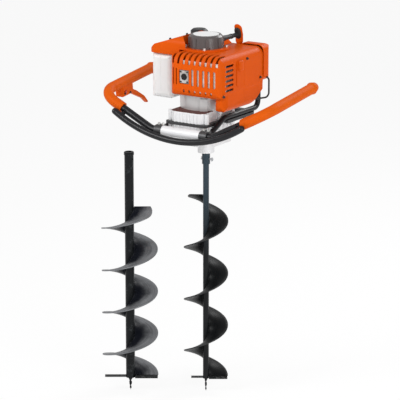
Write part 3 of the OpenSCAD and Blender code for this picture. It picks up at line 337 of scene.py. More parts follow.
def bit_enamel(name, axis, paint, bare, inner, outer, wobble):
    """Black enamel of a bit, rubbed to grey steel from a ragged line out to the rim of its flight."""
    made, tree, shader = finish(name, paint, 0.4, gloss=0.12)
    edge = use(tree, rim, Axis_X=axis.x, Axis_Y=axis.y, Inner=inner, Outer=outer, Wobble=wobble, Scale=28.0)
    rubbed = tree.nodes.new("ShaderNodeMath")
    rubbed.operation = "MULTIPLY"
    tree.links.new(edge.outputs["Mask"], rubbed.inputs[0])
    vary(tree, rubbed.inputs[1], edge.outputs["Scratch"], 0.62, 1.2)
    tint(tree, shader, rubbed.outputs[0], paint, bare)
    vary(tree, shader.inputs["Metallic"], edge.outputs["Mask"], 0.0, 0.35)
    vary(tree, shader.inputs["Roughness"], edge.outputs["Scratch"], 0.34, 0.46)
    pores = use(tree, grain, Scale=700.0, Slow_Scale=25.0)
    raise_surface(tree, shader, pores.outputs["Height"], 0.10, 0.0005)
    return made


plate_t = 0.004
start_angle = math.radians(33)


def soften(bm, edges, offset, segments):
    """Rounds edges over, as a die, a mould or a file leaves them; gives the new corners."""
    return bmesh.ops.bevel(bm, geom=edges, offset=offset, offset_type="OFFSET", affect="EDGES",
                           segments=segments, profile=0.5, material=-1)["verts"]


def climb(node, turns):
    """Foot and pitch of a CAD flight."""
    low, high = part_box(node)
    return low.z, (high.z - low.z - plate_t) / turns


def flight_plate(axis, inner, outer, node, turns):
    """Right-handed helical plate: a radial strip swept up and round, then thickened upwards."""
    low, pitch = climb(node, turns)
    bm = bmesh.new()
    per_turn, parts = 64, 8
    steps = round(turns * per_turn)
    end_share, taper = 0.7, 14 / 36
    rim_angle, rim_round = 1.0, 0.0009
    turn = Matrix.Rotation(start_angle, 4, "Z")
    strip = [bm.verts.new(turn @ Vector((inner + (outer - inner) * k / parts, 0, low)))
             for k in range(parts + 1)]
    edges = [bm.edges.new(pair) for pair in zip(strip, strip[1:])]
    bmesh.ops.spin(bm, geom=strip + edges, cent=(0, 0, 0), axis=(0, 0, 1),
                   dvec=(0, 0, pitch * turns / steps), angle=2 * math.pi * turns, steps=steps,
                   use_merge=False)
    # The plate narrows over its last part of a turn, as the solid does
    top = low + pitch * turns
    for v in bm.verts:
        r = math.hypot(v.co.x, v.co.y)
        share = min(1.0, end_share + (top - v.co.z) / pitch / taper)
        kept = (inner + (r - inner) * share) / r
        v.co.x, v.co.y = v.co.x * kept, v.co.y * kept
    grown = bmesh.ops.extrude_face_region(bm, geom=bm.faces[:])["geom"]
    moved = [g for g in grown if isinstance(g, bmesh.types.BMVert)]
    bmesh.ops.translate(bm, vec=(0, 0, plate_t), verts=moved)
    bmesh.ops.recalc_face_normals(bm, faces=bm.faces)
    rims = [e for e in bm.edges if len(e.link_faces) == 2 and e.calc_face_angle() > rim_angle]
    soften(bm, rims, rim_round, 2)
    bmesh.ops.translate(bm, vec=(axis.x, axis.y, 0), verts=bm.verts)
    return bm


def root_welds(axis, radius, node, turns):
    """Fillet welds along the root of a flight, on top of the plate and under it."""
    low, pitch = climb(node, turns)
    bm = bmesh.new()
    lift, upper_bead, lower_bead = 0.0002, 0.0022, 0.0020
    per_turn, end_gap = 48, 0.04
    run = turns - end_gap
    steps = round(run * per_turn)
    for rise, size in ((plate_t + lift, upper_bead), (-lift, lower_bead)):
        spot = Matrix.Translation((axis.x, axis.y, 0)) @ Matrix.Rotation(start_angle, 4, "Z")
        spot = spot @ Matrix.Translation((radius, 0, low + rise)) @ Matrix.Rotation(math.radians(90), 4, "X")
        ring = bmesh.ops.create_circle(bm, segments=8, radius=size, matrix=spot)["verts"]
        bmesh.ops.spin(bm, geom=ring + edges_of(ring), cent=(axis.x, axis.y, 0), axis=(0, 0, 1),
                       dvec=(0, 0, pitch * run / steps), angle=2 * math.pi * run, steps=steps,
                       use_merge=False)
    bmesh.ops.holes_fill(bm, edges=[e for e in bm.edges if e.is_boundary], sides=0)
    bmesh.ops.recalc_face_normals(bm, faces=bm.faces)
    return bm


drive_axis = Vector((0, 0, 0))
fitted_root, fitted_rim, fitted_turns = 0.0101, 0.075, 3.5
weld_out = 0.0007
fitted_enamel = bit_enamel("fitted_enamel", drive_axis, (0.004, 0.0045, 0.005), (0.045, 0.046, 0.047),
                           inner=0.064, outer=0.078, wobble=0.012)
bm = flight_plate(drive_axis, fitted_root, fitted_rim, "bit_flight", fitted_turns)
fitted_flight = piece_from("fitted_flight", bm, fitted_enamel, "drill")
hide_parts("bit_flight")
bm = root_welds(drive_axis, fitted_root + weld_out, "bit_flight", fitted_turns)
piece_from("fitted_welds", bm, fitted_enamel, "drill")

# Bit shaft and coupling sleeve: black enamel below, where the flight starts, going to blue-grey towards the
# drive end. The lighter top is partly bare steel and partly a painted highlight of the light on the upper
# shaft. The sleeve takes the shaft and is cross-pinned to it.
sleeve_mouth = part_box("output_shaft")[0].z
fade_low, fade_high = sleeve_mouth - 0.32, sleeve_mouth - 0.02
shaft_enamel, tree, shader = finish("shaft_enamel", (0.02, 0.022, 0.024), 0.32, gloss=0.2)
height = tree.nodes.new("ShaderNodeSeparateXYZ")
tree.links.new(tree.nodes["place"].outputs["Object"], height.inputs[0])
up = tree.nodes.new("ShaderNodeMapRange")
up.inputs["From Min"].default_value = fade_low
up.inputs["From Max"].default_value = fade_high
tree.links.new(height.outputs["Z"], up.inputs["Value"])
# Lighter with height: partly bare steel, partly a painted highlight on the upper shaft.
tint(tree, shader, up.outputs["Result"], (0.006, 0.007, 0.008), (0.030, 0.050, 0.066))
worn = use(tree, scuff, Scale=70.0, Cover=0.6, Edge=0.2)
vary(tree, shader.inputs["Roughness"], worn.outputs["Mask"], 0.22, 0.45)
pores = use(tree, grain, Scale=900.0, Slow_Scale=30.0)
raise_surface(tree, shader, pores.outputs["Height"], 0.12, 0.0004)
dress(shaft_enamel, "bit_shaft", "output_shaft", "bit_point")

# Cutting blades: hardened flat steel, blackened, and ground to a bevel along the lower edge. Each
# bit has two, at the foot of its flight.
blade_steel, tree, shader = finish("blade_steel", (0.02, 0.02, 0.022), 0.4, 0.3, gloss=0.2)
worn = use(tree, scuff, Scale=90.0, Cover=0.62, Edge=0.1)
tint(tree, shader, worn.outputs["Mask"], (0.008, 0.009, 0.010), (0.07, 0.07, 0.07))
pores = use(tree, grain, Scale=600.0, Slow_Scale=60.0)
raise_surface(tree, shader, pores.outputs["Height"], 0.3, 0.0005)
dress(blade_steel, "bit_blades", "spare_blades")

# Shafts, gears, bearings, bolts, clutch, cross pin and spark plug: machined steel with turning
# marks. All but the bolts and the pin are closed in by the cases and covers.
machined_steel, tree, shader = finish("machined_steel", (0.55, 0.56, 0.58), 0.32, 0.9)
lathe = tree.nodes.new("ShaderNodeTexWave")
lathe.bands_direction = "Z"
lathe.inputs["Scale"].default_value = 400
lathe.inputs["Distortion"].default_value = 2
tree.links.new(tree.nodes["place"].outputs["Object"], lathe.inputs["Vector"])
vary(tree, shader.inputs["Roughness"], lathe.outputs["Fac"], 0.24, 0.42)
raise_surface(tree, shader, lathe.outputs["Fac"], 0.1, 0.0002)
dress(machined_steel, "cross_pin", "output_wheel", "output_bearings", "bearing_cap_bolts", "layshaft",
      "layshaft_wheel", "case_bearings", "input_pinion", "gear_case_bolts", "clutch_drum", "clutch_shoes",
      "crankshaft", "spark_plug")

# Gearbox, clutch housing and engine castings: ribbed light alloy, shot-blasted, bright.
# The case halves are bolted through the frame plate.
cast_alloy, tree, shader = finish("cast_alloy", (0.68, 0.68, 0.69), 0.42, 0.35)
blast = use(tree, grain, Scale=650.0, Slow_Scale=18.0)
tint(tree, shader, blast.outputs["Blotch"], (0.72, 0.72, 0.73), (0.86, 0.86, 0.87))
vary(tree, shader.inputs["Roughness"], blast.outputs["Height"], 0.34, 0.55)
raise_surface(tree, shader, blast.outputs["Height"], 0.35, 0.0008)
dress(cast_alloy, "bearing_cap", "gear_case_lower", "gear_case_upper", "engine_cylinder",
      "carburettor", "flywheel")

collar_alloy, tree, shader = finish("collar_alloy", (0.56, 0.55, 0.55), 0.35, 0.6)
turned = use(tree, grain, Scale=500.0, Slow_Scale=14.0)
tint(tree, shader, turned.outputs["Blotch"], (0.50, 0.48, 0.48), (0.64, 0.63, 0.63))
vary(tree, shader.inputs["Roughness"], turned.outputs["Height"], 0.28, 0.46)
raise_surface(tree, shader, turned.outputs["Height"], 0.2, 0.0006)
dress(collar_alloy, "clutch_housing", "crankcase")

# Gasket: a red-brown fibre sheet, cut to the outline of the upper case and clamped between it and
# the clutch housing.
gasket_fibre, tree, shader = finish("gasket_fibre", (0.10, 0.030, 0.022), 0.7)
fibre = use(tree, grain, Scale=1200.0, Slow_Scale=60.0)
tint(tree, shader, fibre.outputs["Blotch"], (0.075, 0.022, 0.018), (0.14, 0.045, 0.034))
raise_surface(tree, shader, fibre.outputs["Height"], 0.4, 0.0004)
case_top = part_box("gear_case_upper")[1].z
case_half, case_front, case_back = 0.065, -0.123, 0.070
gasket_t, case_round = 0.0012, 0.024


def block(bm, size):
    """A box about the origin; gives its corners."""
    made = bmesh.ops.create_cube(bm, size=1.0)["verts"]
    bmesh.ops.scale(bm, vec=size, verts=made)
    return made


bm = bmesh.new()
block(bm, (2 * case_half, case_back - case_front, gasket_t))
upright = [e for e in bm.edges if abs(e.verts[0].co.z - e.verts[1].co.z) > gasket_t / 2]
soften(bm, upright, case_round, 8)
bmesh.ops.translate(bm, vec=(0, (case_front + case_back) / 2, case_top + gasket_t / 2), verts=bm.verts)
piece_from("case_gasket", bm, gasket_fibre, "machine")

# Webs of the lower case: cast ribs below the bolting flange, deepest at the top, on both sides and
# at the back.
tub_low, tub_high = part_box("gear_case_lower")
web_out, web_t, web_slant, web_round = 0.012, 0.005, 0.0042, 0.0010
web_foot, web_top = tub_low.z + 0.008, tub_high.z - 0.001
side_webs, back_webs = (-0.062, 0.002, 0.026), (-0.034, 0.0, 0.034)
web_places = [((s * case_half, y), 90 - 90 * s) for s in (-1, 1) for y in side_webs]
web_places += [((x, case_back), 90) for x in back_webs]
bm = bmesh.new()
for at, turn in web_places:
    made = block(bm, (web_out, web_t, web_top - web_foot))
    toe = [v for v in made if v.co.x > 0 and v.co.z < 0]
    bmesh.ops.translate(bm, vec=(-web_slant, 0, 0), verts=toe)
    webbed = soften(bm, edges_of(made), web_round, 3)
    facing = Matrix.Rotation(math.radians(turn), 3, "Z")
    bmesh.ops.rotate(bm, cent=(0, 0, 0), matrix=facing, verts=webbed)
    bmesh.ops.translate(bm, vec=(*at, (web_foot + web_top) / 2), verts=webbed)
piece_from("case_webs", bm, cast_alloy, "machine")

# Handle tube, bow and side rails: bent steel tube in thick gloss-black enamel with a slight
# orange peel. The bow's stubs are welded to the arms, the rails to the clamps.
frame_enamel, tree, shader = finish("frame_enamel", (0.010, 0.010, 0.012), 0.3, gloss=0.26)
peel = use(tree, grain, Scale=260.0, Slow_Scale=12.0)
vary(tree, shader.inputs["Roughness"], peel.outputs["Blotch"], 0.24, 0.40)
raise_surface(tree, shader, peel.outputs["Height"], 0.12, 0.0006)
dress(frame_enamel, "handle_tube", "bow_tube", "side_rails")

bar_low, bar_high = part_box("bar_sleeve")
bar_mid = (bar_low + bar_high) / 2
clamp_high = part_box("handle_clamps")[1]
clamp_x, rail_ring, rail_bead = 0.088, 0.0094, 0.0022
stub_x, bend_x, stub_ring, stub_bead = 0.222, 0.118, 0.0075, 0.0024
arm_slope, arm_front, arm_drop, stub_lean, clamp_out = 0.5, 0.0125, 0.003, 0.2, 0.0008
arm_z = bar_mid.z + arm_slope * (stub_x - bend_x)


def bead_ring(bm, at, along, radius, size):
    """Ring of weld bead round a stub or a rail, square to a direction."""
    spot = Matrix.Translation(at) @ Vector(along).to_track_quat("Z", "Y").to_matrix().to_4x4()
    hold = spot @ Matrix.Translation((radius, 0, 0)) @ Matrix.Rotation(math.radians(90), 4, "X")
    ring = bmesh.ops.create_circle(bm, segments=8, radius=size, matrix=hold)["verts"]
    bmesh.ops.spin(bm, geom=ring + edges_of(ring), cent=at, axis=along, angle=2 * math.pi, steps=28,
                   use_merge=True)


bm = bmesh.new()
for side in (-1, 1):
    arm_side = (side * stub_x, bar_mid.y - arm_front, arm_z - arm_drop)
    bead_ring(bm, arm_side, (0, 1, stub_lean), stub_ring, stub_bead)
    clamp_back = (side * clamp_x, clamp_high.y + clamp_out, bar_mid.z)
    bead_ring(bm, clamp_back, (0, 1, 0), rail_ring, rail_bead)
bmesh.ops.recalc_face_normals(bm, faces=bm.faces)
piece_from("frame_welds", bm, frame_enamel, "machine")

# Frame plate: thick pressed steel in a duller black, clamped between the case halves. The side
# rails lie on it.
plate_enamel, tree, shader = finish("plate_enamel", (0.030, 0.031, 0.033), 0.45)
peel = use(tree, grain, Scale=400.0, Slow_Scale=20.0)
tint(tree, shader, peel.outputs["Blotch"], (0.022, 0.022, 0.024), (0.040, 0.040, 0.042))
raise_surface(tree, shader, peel.outputs["Height"], 0.2, 0.0006)
dress(plate_enamel, "frame_plate")

# Bar clamps: dark cast blocks, each drawn tight by two socket screws from above; and the plain
# pale sleeve between them.
clamp_cast, tree, shader = finish("clamp_cast", (0.05, 0.05, 0.052), 0.4, 0.5)
blast = use(tree, grain, Scale=500.0, Slow_Scale=30.0)
tint(tree, shader, blast.outputs["Blotch"], (0.035, 0.035, 0.037), (0.085, 0.085, 0.088))
raise_surface(tree, shader, blast.outputs["Height"], 0.3, 0.0006)
dress(clamp_cast, "handle_clamps")

sleeve_coat, tree, shader = finish("sleeve_coat", (0.76, 0.76, 0.77), 0.35)
film_skin = use(tree, grain, Scale=300.0, Slow_Scale=14.0)
tint(tree, shader, film_skin.outputs["Blotch"], (0.68, 0.68, 0.70), (0.80, 0.80, 0.81))
raise_surface(tree, shader, film_skin.outputs["Height"], 0.1, 0.0004)
dress(sleeve_coat, "bar_sleeve")

zinc, tree, shader = finish("zinc_plate", (0.70, 0.70, 0.69), 0.3, 0.8)
passivation = use(tree, grain, Scale=900.0, Slow_Scale=120.0)
tint(tree, shader, passivation.outputs["Blotch"], (0.62, 0.62, 0.60), (0.78, 0.78, 0.77))
vary(tree, shader.inputs["Roughness"], passivation.outputs["Blotch"], 0.24, 0.4)


def socket_screw(bm, at, out, size):
    """Socket-head screw on a washer, its head standing out along a direction."""
    out = Vector(out).normalized()
    spot = Matrix.Translation(at) @ out.to_track_quat("Z", "Y").to_matrix().to_4x4()
    washer, head = (0.95 * size, -0.1 * size, 0.15 * size), (0.72 * size, 0.1 * size, 0.9 * size)
    for radius, low, high in (washer, head):
        middle = spot @ Matrix.Translation((0, 0, (low + high) / 2))
        made = bmesh.ops.create_cone(bm, cap_ends=True, segments=20, radius1=radius, radius2=radius,
                                     depth=high - low, matrix=middle)
        faces = {f for v in made["verts"] for f in v.link_faces}
    top = max(faces, key=lambda f: f.calc_center_median().dot(out))
    bmesh.ops.inset_individual(bm, faces=[top], thickness=0.08 * size, depth=0.08 * size)
    bmesh.ops.inset_individual(bm, faces=[top], thickness=0.26 * size)
    sunk = bmesh.ops.extrude_discrete_faces(bm, faces=[top])["faces"]
    bmesh.ops.translate(bm, vec=-0.5 * size * out, verts=[v for f in sunk for v in f.verts])


screw_side, screw_back, clamp_screw = 0.008, 0.009, 0.006
bm = bmesh.new()
for side in (-1, 1):
    for off in (-screw_side, screw_side):
        spot = (side * clamp_x + off, bar_mid.y + screw_back, clamp_high.z)
        socket_screw(bm, spot, (0, 0, 1), clamp_screw)
piece_from("clamp_screws", bm, zinc, "machine")

# Grease filler of the gearbox: a zinc-plated hexagon plug on a washer, screwed into the back of the
# lower case between two webs.
washer_r, washer_t, plug_r, plug_h, plug_round = 0.0105, 0.003, 0.0085, 0.006, 0.0007
plug_spot = (0.017, case_back, tub_low.z + 0.034)
faced = Matrix.Translation(plug_spot) @ Matrix.Rotation(math.radians(-90), 4, "X")
bm = bmesh.new()
bmesh.ops.create_cone(bm, cap_ends=True, segments=32, radius1=washer_r, radius2=washer_r, depth=washer_t,
                      matrix=faced)
head = bmesh.ops.create_cone(bm, cap_ends=True, segments=6, radius1=plug_r, radius2=plug_r, depth=plug_h,
                             matrix=faced @ Matrix.Translation((0, 0, plug_h / 2)))["verts"]
soften(bm, edges_of(head), plug_round, 2)
piece_from("filler_plug", bm, zinc, "machine")

# Exhaust: a pressed steel box, its outlet flange screwed on in front, and a heat shield folded round the
# corner just behind the cover's slots. The shield is painted near white: painted light, so the slots look as
# pale as a lit backdrop seen through them.
muffler_steel, tree, shader = finish("muffler_steel", (0.50, 0.49, 0.48), 0.4, 0.4)
heat = use(tree, scuff, Scale=25.0, Cover=0.6, Edge=0.25)
tint(tree, shader, heat.outputs["Mask"], (0.55, 0.54, 0.53), (0.36, 0.33, 0.30))
vary(tree, shader.inputs["Roughness"], heat.outputs["Mask"], 0.3, 0.5)
dress(muffler_steel, "muffler")

# The shield's near-white colour is painted light standing in for the backdrop seen through the slots; the
# darker patches are heat tint.
shield_painted_backdrop_light, tree, shader = finish("shield_painted_backdrop_light", (0.82, 0.80, 0.77), 0.35, 0.1)
heat = use(tree, scuff, Scale=32.0, Cover=0.56, Edge=0.3)
tint(tree, shader, heat.outputs["Mask"], (0.88, 0.86, 0.83), (0.50, 0.46, 0.42))
vary(tree, shader.inputs["Roughness"], heat.outputs["Mask"], 0.28, 0.5)
front, side_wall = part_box("muffler_cover")[0].y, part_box("rear_shroud")[1].x
shield_in, shield_t, fold = 0.0045, 0.0008, 0.014
shield_y, shield_x, opening_x = front + shield_in, side_wall - shield_in, 0.018
shield_z = [engine + 0.030, engine + 0.101, engine + 0.132]
plan = [(-0.012, shield_y), (opening_x, shield_y), (shield_x - fold, shield_y)]
plan += [(shield_x - fold * (1 - math.sin(t)), shield_y + fold * (1 - math.cos(t)))
         for t in (math.radians(15 * k) for k in range(1, 7))]
plan += [(shield_x, shield_y + 0.034)]
bm = bmesh.new()
foot = [bm.verts.new((x, y, shield_z[0])) for x, y in plan]
edges = [bm.edges.new(pair) for pair in zip(foot, foot[1:])]
for low, high in zip(shield_z, shield_z[1:]):
    edges = draw_out(bm, edges, (0, 0, high - low))[0]
# The shield is cut away round the outlet
middles = [(f, f.calc_center_median()) for f in bm.faces]
cut = [f for f, middle in middles if middle.x < opening_x and middle.z < shield_z[1]]
bmesh.ops.delete(bm, geom=cut, context="FACES")
bmesh.ops.recalc_face_normals(bm, faces=bm.faces)
bmesh.ops.solidify(bm, geom=bm.faces[:], thickness=shield_t)
piece_from("heat_shield", bm, shield_painted_backdrop_light, "machine")

outlet_x, outlet_z = -0.002, engine + 0.078
flange_w, flange_h, flange_t, hole_r = 0.032, 0.040, 0.0022, 0.0092
flange_round, flange_rim, flange_sink, flange_in = 0.0009, 0.0020, 0.0006, 0.0012
bm = bmesh.new()
block(bm, (flange_w, flange_t, flange_h))
soften(bm, bm.edges[:], flange_round, 2)
face = min(bm.faces, key=lambda f: f.calc_center_median().y)
bmesh.ops.inset_individual(bm, faces=[face], thickness=flange_rim, depth=-flange_sink)
bmesh.ops.translate(bm, vec=(outlet_x, front + flange_in, outlet_z), verts=bm.verts)
piece_from("outlet_flange", bm, muffler_steel, "machine")

# The outlet's mouth is a flat disc that closes the hole. Its black is partly soot and partly painted shade
# standing in for the dark depth of the pipe.
soot_and_hole_shade, tree, shader = finish("soot_and_hole_shade", (0.006, 0.006, 0.006), 0.9)
crust = use(tree, grain, Scale=900.0, Slow_Scale=150.0)
tint(tree, shader, crust.outputs["Blotch"], (0.003, 0.003, 0.003), (0.014, 0.013, 0.012))
raise_surface(tree, shader, crust.outputs["Height"], 0.5, 0.0008)
lip = [(0.0, -0.0002), (hole_r - 0.0008, -0.0002), (hole_r, -0.0012), (hole_r + 0.001, -0.0014),
       (hole_r + 0.0016, 0.0006)]


def revolve(bm, profile, centre, steps, closed=False):
    """Turns a profile of radius and depth round the front-to-back line through a centre."""
    x, y, z = centre
    wire = [bm.verts.new((x + r, y + deep, z)) for r, deep in profile]
    ends = wire[1:] + wire[:1] if closed else wire[1:]
    runs = [bm.edges.new(pair) for pair in zip(wire, ends)]
    bmesh.ops.spin(bm, geom=wire + runs, cent=centre, axis=(0, 1, 0), angle=2 * math.pi, steps=steps,
                   use_merge=True)


bm = bmesh.new()
revolve(bm, lip, (outlet_x, front, outlet_z), 32)
bmesh.ops.remove_doubles(bm, verts=bm.verts, dist=0.00002)
bmesh.ops.recalc_face_normals(bm, faces=bm.faces)
piece_from("outlet_mouth", bm, soot_and_hole_shade, "machine")

# Covers: glossy injection-moulded orange plastic with a fine moulded grain, held by socket screws.
# A raised boss stands over the side wall's bare pad, and hoods over the vents in the back wall.
orange_gloss, tree, shader = finish("orange_gloss", (0.64, 0.085, 0.003), 0.34, gloss=0.05)
skin = use(tree, grain, Scale=1100.0, Slow_Scale=9.0)
tint(tree, shader, skin.outputs["Blotch"], (0.60, 0.076, 0.002), (0.68, 0.094, 0.004))
vary(tree, shader.inputs["Roughness"], skin.outputs["Blotch"], 0.26, 0.40)
raise_surface(tree, shader, skin.outputs["Height"], 0.12, 0.0004)
dress(orange_gloss, "muffler_cover", "rear_shroud", "fan_housing", "tank_cover", "air_filter_cover",
      "throttle_housing", "throttle_lever")

boss_out, boss_y, boss_z = 0.003, -0.014, engine + 0.112
boss_size, boss_draft, boss_round = (0.010, 0.030, 0.036), 0.86, 0.0028
bm = bmesh.new()
crown = [v for v in block(bm, boss_size) if v.co.x > 0]
bmesh.ops.scale(bm, vec=(1, boss_draft, boss_draft), verts=crown)
soften(bm, bm.edges[:], boss_round, 4)
bmesh.ops.translate(bm, vec=(side_wall + boss_out, boss_y, boss_z), verts=bm.verts)
piece_from("cover_boss", bm, orange_gloss, "machine")

back_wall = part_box("rear_shroud")[1].y
louvre_x, louvre_y, louvre_z = -0.010, back_wall + 0.0014, engine + 0.040
louvre_count, louvre_pitch, louvre_slant = 6, 0.0125, 0.0032
louvre_size, louvre_round = (0.060, 0.0050, 0.0080), 0.0009
bm = bmesh.new()
for k in range(louvre_count):
    made = block(bm, louvre_size)
    brow = [v for v in made if v.co.y > 0 and v.co.z > 0]
    bmesh.ops.translate(bm, vec=(0, -louvre_slant, 0), verts=brow)
    hood = soften(bm, edges_of(made), louvre_round, 3)
    bmesh.ops.translate(bm, vec=(louvre_x, louvre_y, louvre_z + louvre_pitch * k), verts=hood)
piece_from("back_louvres", bm, orange_gloss, "machine")

screw_black, tree, shader = finish("screw_black", (0.03, 0.028, 0.027), 0.4, 0.5)
oxide = use(tree, grain, Scale=1200.0, Slow_Scale=150.0)
tint(tree, shader, oxide.outputs["Blotch"], (0.020, 0.019, 0.018), (0.055, 0.052, 0.050))
vary(tree, shader.inputs["Roughness"], oxide.outputs["Blotch"], 0.3, 0.5)
flange_screw, cover_screw, throttle_screw = 0.0032, 0.005, 0.004
side_screws = ((0.030, 0.128), (0.112, 0.052), (-0.112, 0.024))
back_screws = ((-0.049, 0.134), (-0.046, 0.022), (0.030, 0.022))
wing_x, wing_z = -0.118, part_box("tank_cover")[1].z - 0.016
wing_slope = Vector((-30, 0, 90)).normalized()
throttle_low, throttle_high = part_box("throttle_housing")
throttle_y, throttle_z = (throttle_low.y + throttle_high.y) / 2, throttle_low.z + 0.012
bm = bmesh.new()
for x in (-0.0125, 0.0125):
    for z in (-0.0165, 0.0165):
        socket_screw(bm, (outlet_x + x, front + 0.0006, outlet_z + z), (0, -1, 0), flange_screw)
for y, z in side_screws:
    socket_screw(bm, (side_wall, y, engine + z), (1, 0, 0), cover_screw)
for x, z in back_screws:
    socket_screw(bm, (x, back_wall, engine + z), (0, 1, 0), cover_screw)
for y in (-0.035, 0.066):
    socket_screw(bm, (wing_x, y, wing_z), wing_slope, cover_screw)
for y in (-0.020, 0.012):
    socket_screw(bm, (throttle_high.x, throttle_y + y, throttle_z), (1, 0, 0), throttle_screw)
piece_from("cover_screws", bm, screw_black, "machine")

# Recoil starter: a black fluted moulding with a plain white disc on top, held down by zinc bolts,
# the black rope nozzle on an orange saddle, and the T-grip, an orange crescent with a black core.
starter_black, tree, shader = finish("starter_black", (0.085, 0.072, 0.071), 0.26, gloss=0.5)
skin = use(tree, grain, Scale=900.0, Slow_Scale=12.0)
tint(tree, shader, skin.outputs["Blotch"], (0.062, 0.052, 0.051), (0.110, 0.094, 0.092))
raise_surface(tree, shader, skin.outputs["Height"], 0.2, 0.0005)
dress(starter_black, "starter_housing", "starter_pulley", "choke_lever")

flange_z, bolt_circle, starter_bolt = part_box("fan_housing")[1].z, 0.067, 0.0065
bm = bmesh.new()
for angle in (-62, 28, 118, 208):
    spot = Matrix.Rotation(math.radians(angle), 3, "Z") @ Vector((bolt_circle, 0, flange_z))
    socket_screw(bm, spot, (0, 0, 1), starter_bolt)
piece_from("starter_bolts", bm, zinc, "machine")

guide_low, guide_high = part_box("rope_guide")
nozzle_root = guide_low.y + 0.001 - guide_high.y
nozzle = [(0.0026, -0.0004), (0.0078, -0.0004), (0.0088, -0.0016), (0.0088, -0.0050), (0.0078, -0.0064),
          (0.0082, -0.022), (0.0094, -0.042), (0.0106, -0.058), (0.0106, nozzle_root), (0.0026, nozzle_root)]
bm = bmesh.new()
revolve(bm, nozzle, (rope_mid.x, guide_high.y, rope_mid.z), 32, closed=True)
bmesh.ops.recalc_face_normals(bm, faces=bm.faces)
nozzle_black, tree, shader = finish("nozzle_black", (0.016, 0.016, 0.017), 0.45, gloss=0.25)
skin = use(tree, grain, Scale=1000.0, Slow_Scale=80.0)
tint(tree, shader, skin.outputs["Blotch"], (0.011, 0.011, 0.012), (0.024, 0.023, 0.023))
raise_surface(tree, shader, skin.outputs["Height"], 0.2, 0.0004)
piece_from("rope_nozzle", bm, nozzle_black, "machine")

saddle_end = Vector((guide_high.x, guide_high.y - 0.012, rope_mid.z - 0.002))
crest_share, crest_back, saddle_round = 0.66, 0.020, 0.0024
bm = bmesh.new()
crest = [v for v in block(bm, saddle_end - guide_low) if v.co.z > 0]
bmesh.ops.scale(bm, vec=(crest_share, 1, 1), verts=crest)
bmesh.ops.translate(bm, vec=(0, -crest_back, 0), verts=[v for v in crest if v.co.y > 0])
soften(bm, bm.edges[:], saddle_round, 4)
saddle_mid = (guide_low + saddle_end) / 2
bmesh.ops.translate(bm, vec=(rope_mid.x, saddle_mid.y, saddle_mid.z), verts=bm.verts)
rope_saddle = piece_from("rope_saddle", bm, orange_gloss, "machine")
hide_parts("rope_guide")

grip_y = rope_high.y + 0.010


def crescent(width, depth, half, back, rise=0.0):
    """Capsule bent towards the starter, its top leaning that way, its middle set back and raised."""
    bend, lean = 6.2, 0.17
    bm = bmesh.new()
    bmesh.ops.create_uvsphere(bm, u_segments=28, v_segments=20, radius=1.0)
    bmesh.ops.scale(bm, vec=(width / 2, depth / 2, width / 2), verts=bm.verts)
    for v in bm.verts:
        if abs(v.co.z) > 1e-6:
            v.co.z += math.copysign(half, v.co.z)
        v.co.z += rise
        v.co.y += back - bend * v.co.z * v.co.z - lean * v.co.z
    bmesh.ops.translate(bm, vec=(rope_mid.x, grip_y, rope_mid.z), verts=bm.verts)
    return bm


bm = crescent(width=0.0290, depth=0.0150, half=0.0210, back=0.0035)
pull_shell = piece_from("pull_shell", bm, orange_gloss, "pull")
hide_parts("starter_grip")
bm = crescent(width=0.0235, depth=0.0160, half=0.0080, back=-0.0045, rise=0.0040)
rib_r, groove_r, rib_step = 0.0074, 0.0062, 0.0028
neck = [(0.0072, -0.034), (0.0072, -0.031), (0.0064, -0.030)]
neck += [(rib_r if k % 2 else groove_r, -0.028 + rib_step * k) for k in range(9)]
neck += [(0.0085, 0.002), (0.0085, 0.006)]
revolve(bm, neck, (rope_mid.x, rope_high.y, rope_mid.z), 24)
bmesh.ops.recalc_face_normals(bm, faces=bm.faces)
piece_from("pull_core", bm, nozzle_black, "pull")

white_disc, tree, shader = finish("white_disc", (0.88, 0.88, 0.88), 0.3)
skin = use(tree, grain, Scale=500.0, Slow_Scale=15.0)
tint(tree, shader, skin.outputs["Blotch"], (0.85, 0.85, 0.85), (0.91, 0.91, 0.91))
raise_surface(tree, shader, skin.outputs["Height"], 0.08, 0.0003)
dress(white_disc, "starter_disc")

# Fuel tank and cap: blow-moulded milky plastic in two halves of a mould, which leave a low ridge
# round its middle, and a fluted black cap.
tank_milk, tree, shader = finish("tank_milk", (0.76, 0.755, 0.75), 0.36)
shader.inputs["Subsurface Weight"].default_value = 0.15
shader.inputs["Subsurface Radius"].default_value = (0.02, 0.02, 0.018)
skin = use(tree, grain, Scale=350.0, Slow_Scale=11.0)
tint(tree, shader, skin.outputs["Blotch"], (0.72, 0.715, 0.71), (0.79, 0.788, 0.785))
raise_surface(tree, shader, skin.outputs["Height"], 0.15, 0.0006)
dress(tank_milk, "fuel_tank")

seam_x, seam_h, seam_w, seam_sink = -0.140, 0.0006, 0.0009, 0.0003
bm = bmesh.new()
bm.from_mesh(nodes["fuel_tank"].data)
bmesh.ops.remove_doubles(bm, verts=bm.verts, dist=0.00002)
bmesh.ops.bisect_plane(bm, geom=bm.verts[:] + bm.edges[:] + bm.faces[:], plane_co=(seam_x, 0, 0),
                       plane_no=(1, 0, 0), clear_inner=True, clear_outer=True)
# Of the section's two loops the outer one is kept
outer = {min(bm.verts, key=lambda v: v.co.y)}
while True:
    more = {e.other_vert(v) for v in outer for e in v.link_edges} - outer
    if not more:
        break
    outer |= more
bmesh.ops.delete(bm, geom=[v for v in bm.verts if v not in outer], context="VERTS")
span = [max(v.co[k] for v in bm.verts) - min(v.co[k] for v in bm.verts) for k in range(3)]
centre = Vector([min(v.co[k] for v in bm.verts) + span[k] / 2 for k in range(3)])
ring, feet = bm.edges[:], bm.edges[:]


def swell(verts, out):
    """Moves a loop of the seam outwards from the tank's wall."""
    bmesh.ops.scale(bm, vec=(1, 1 + 2 * out / span[1], 1 + 2 * out / span[2]),
                    space=Matrix.Translation(-centre), verts=verts)


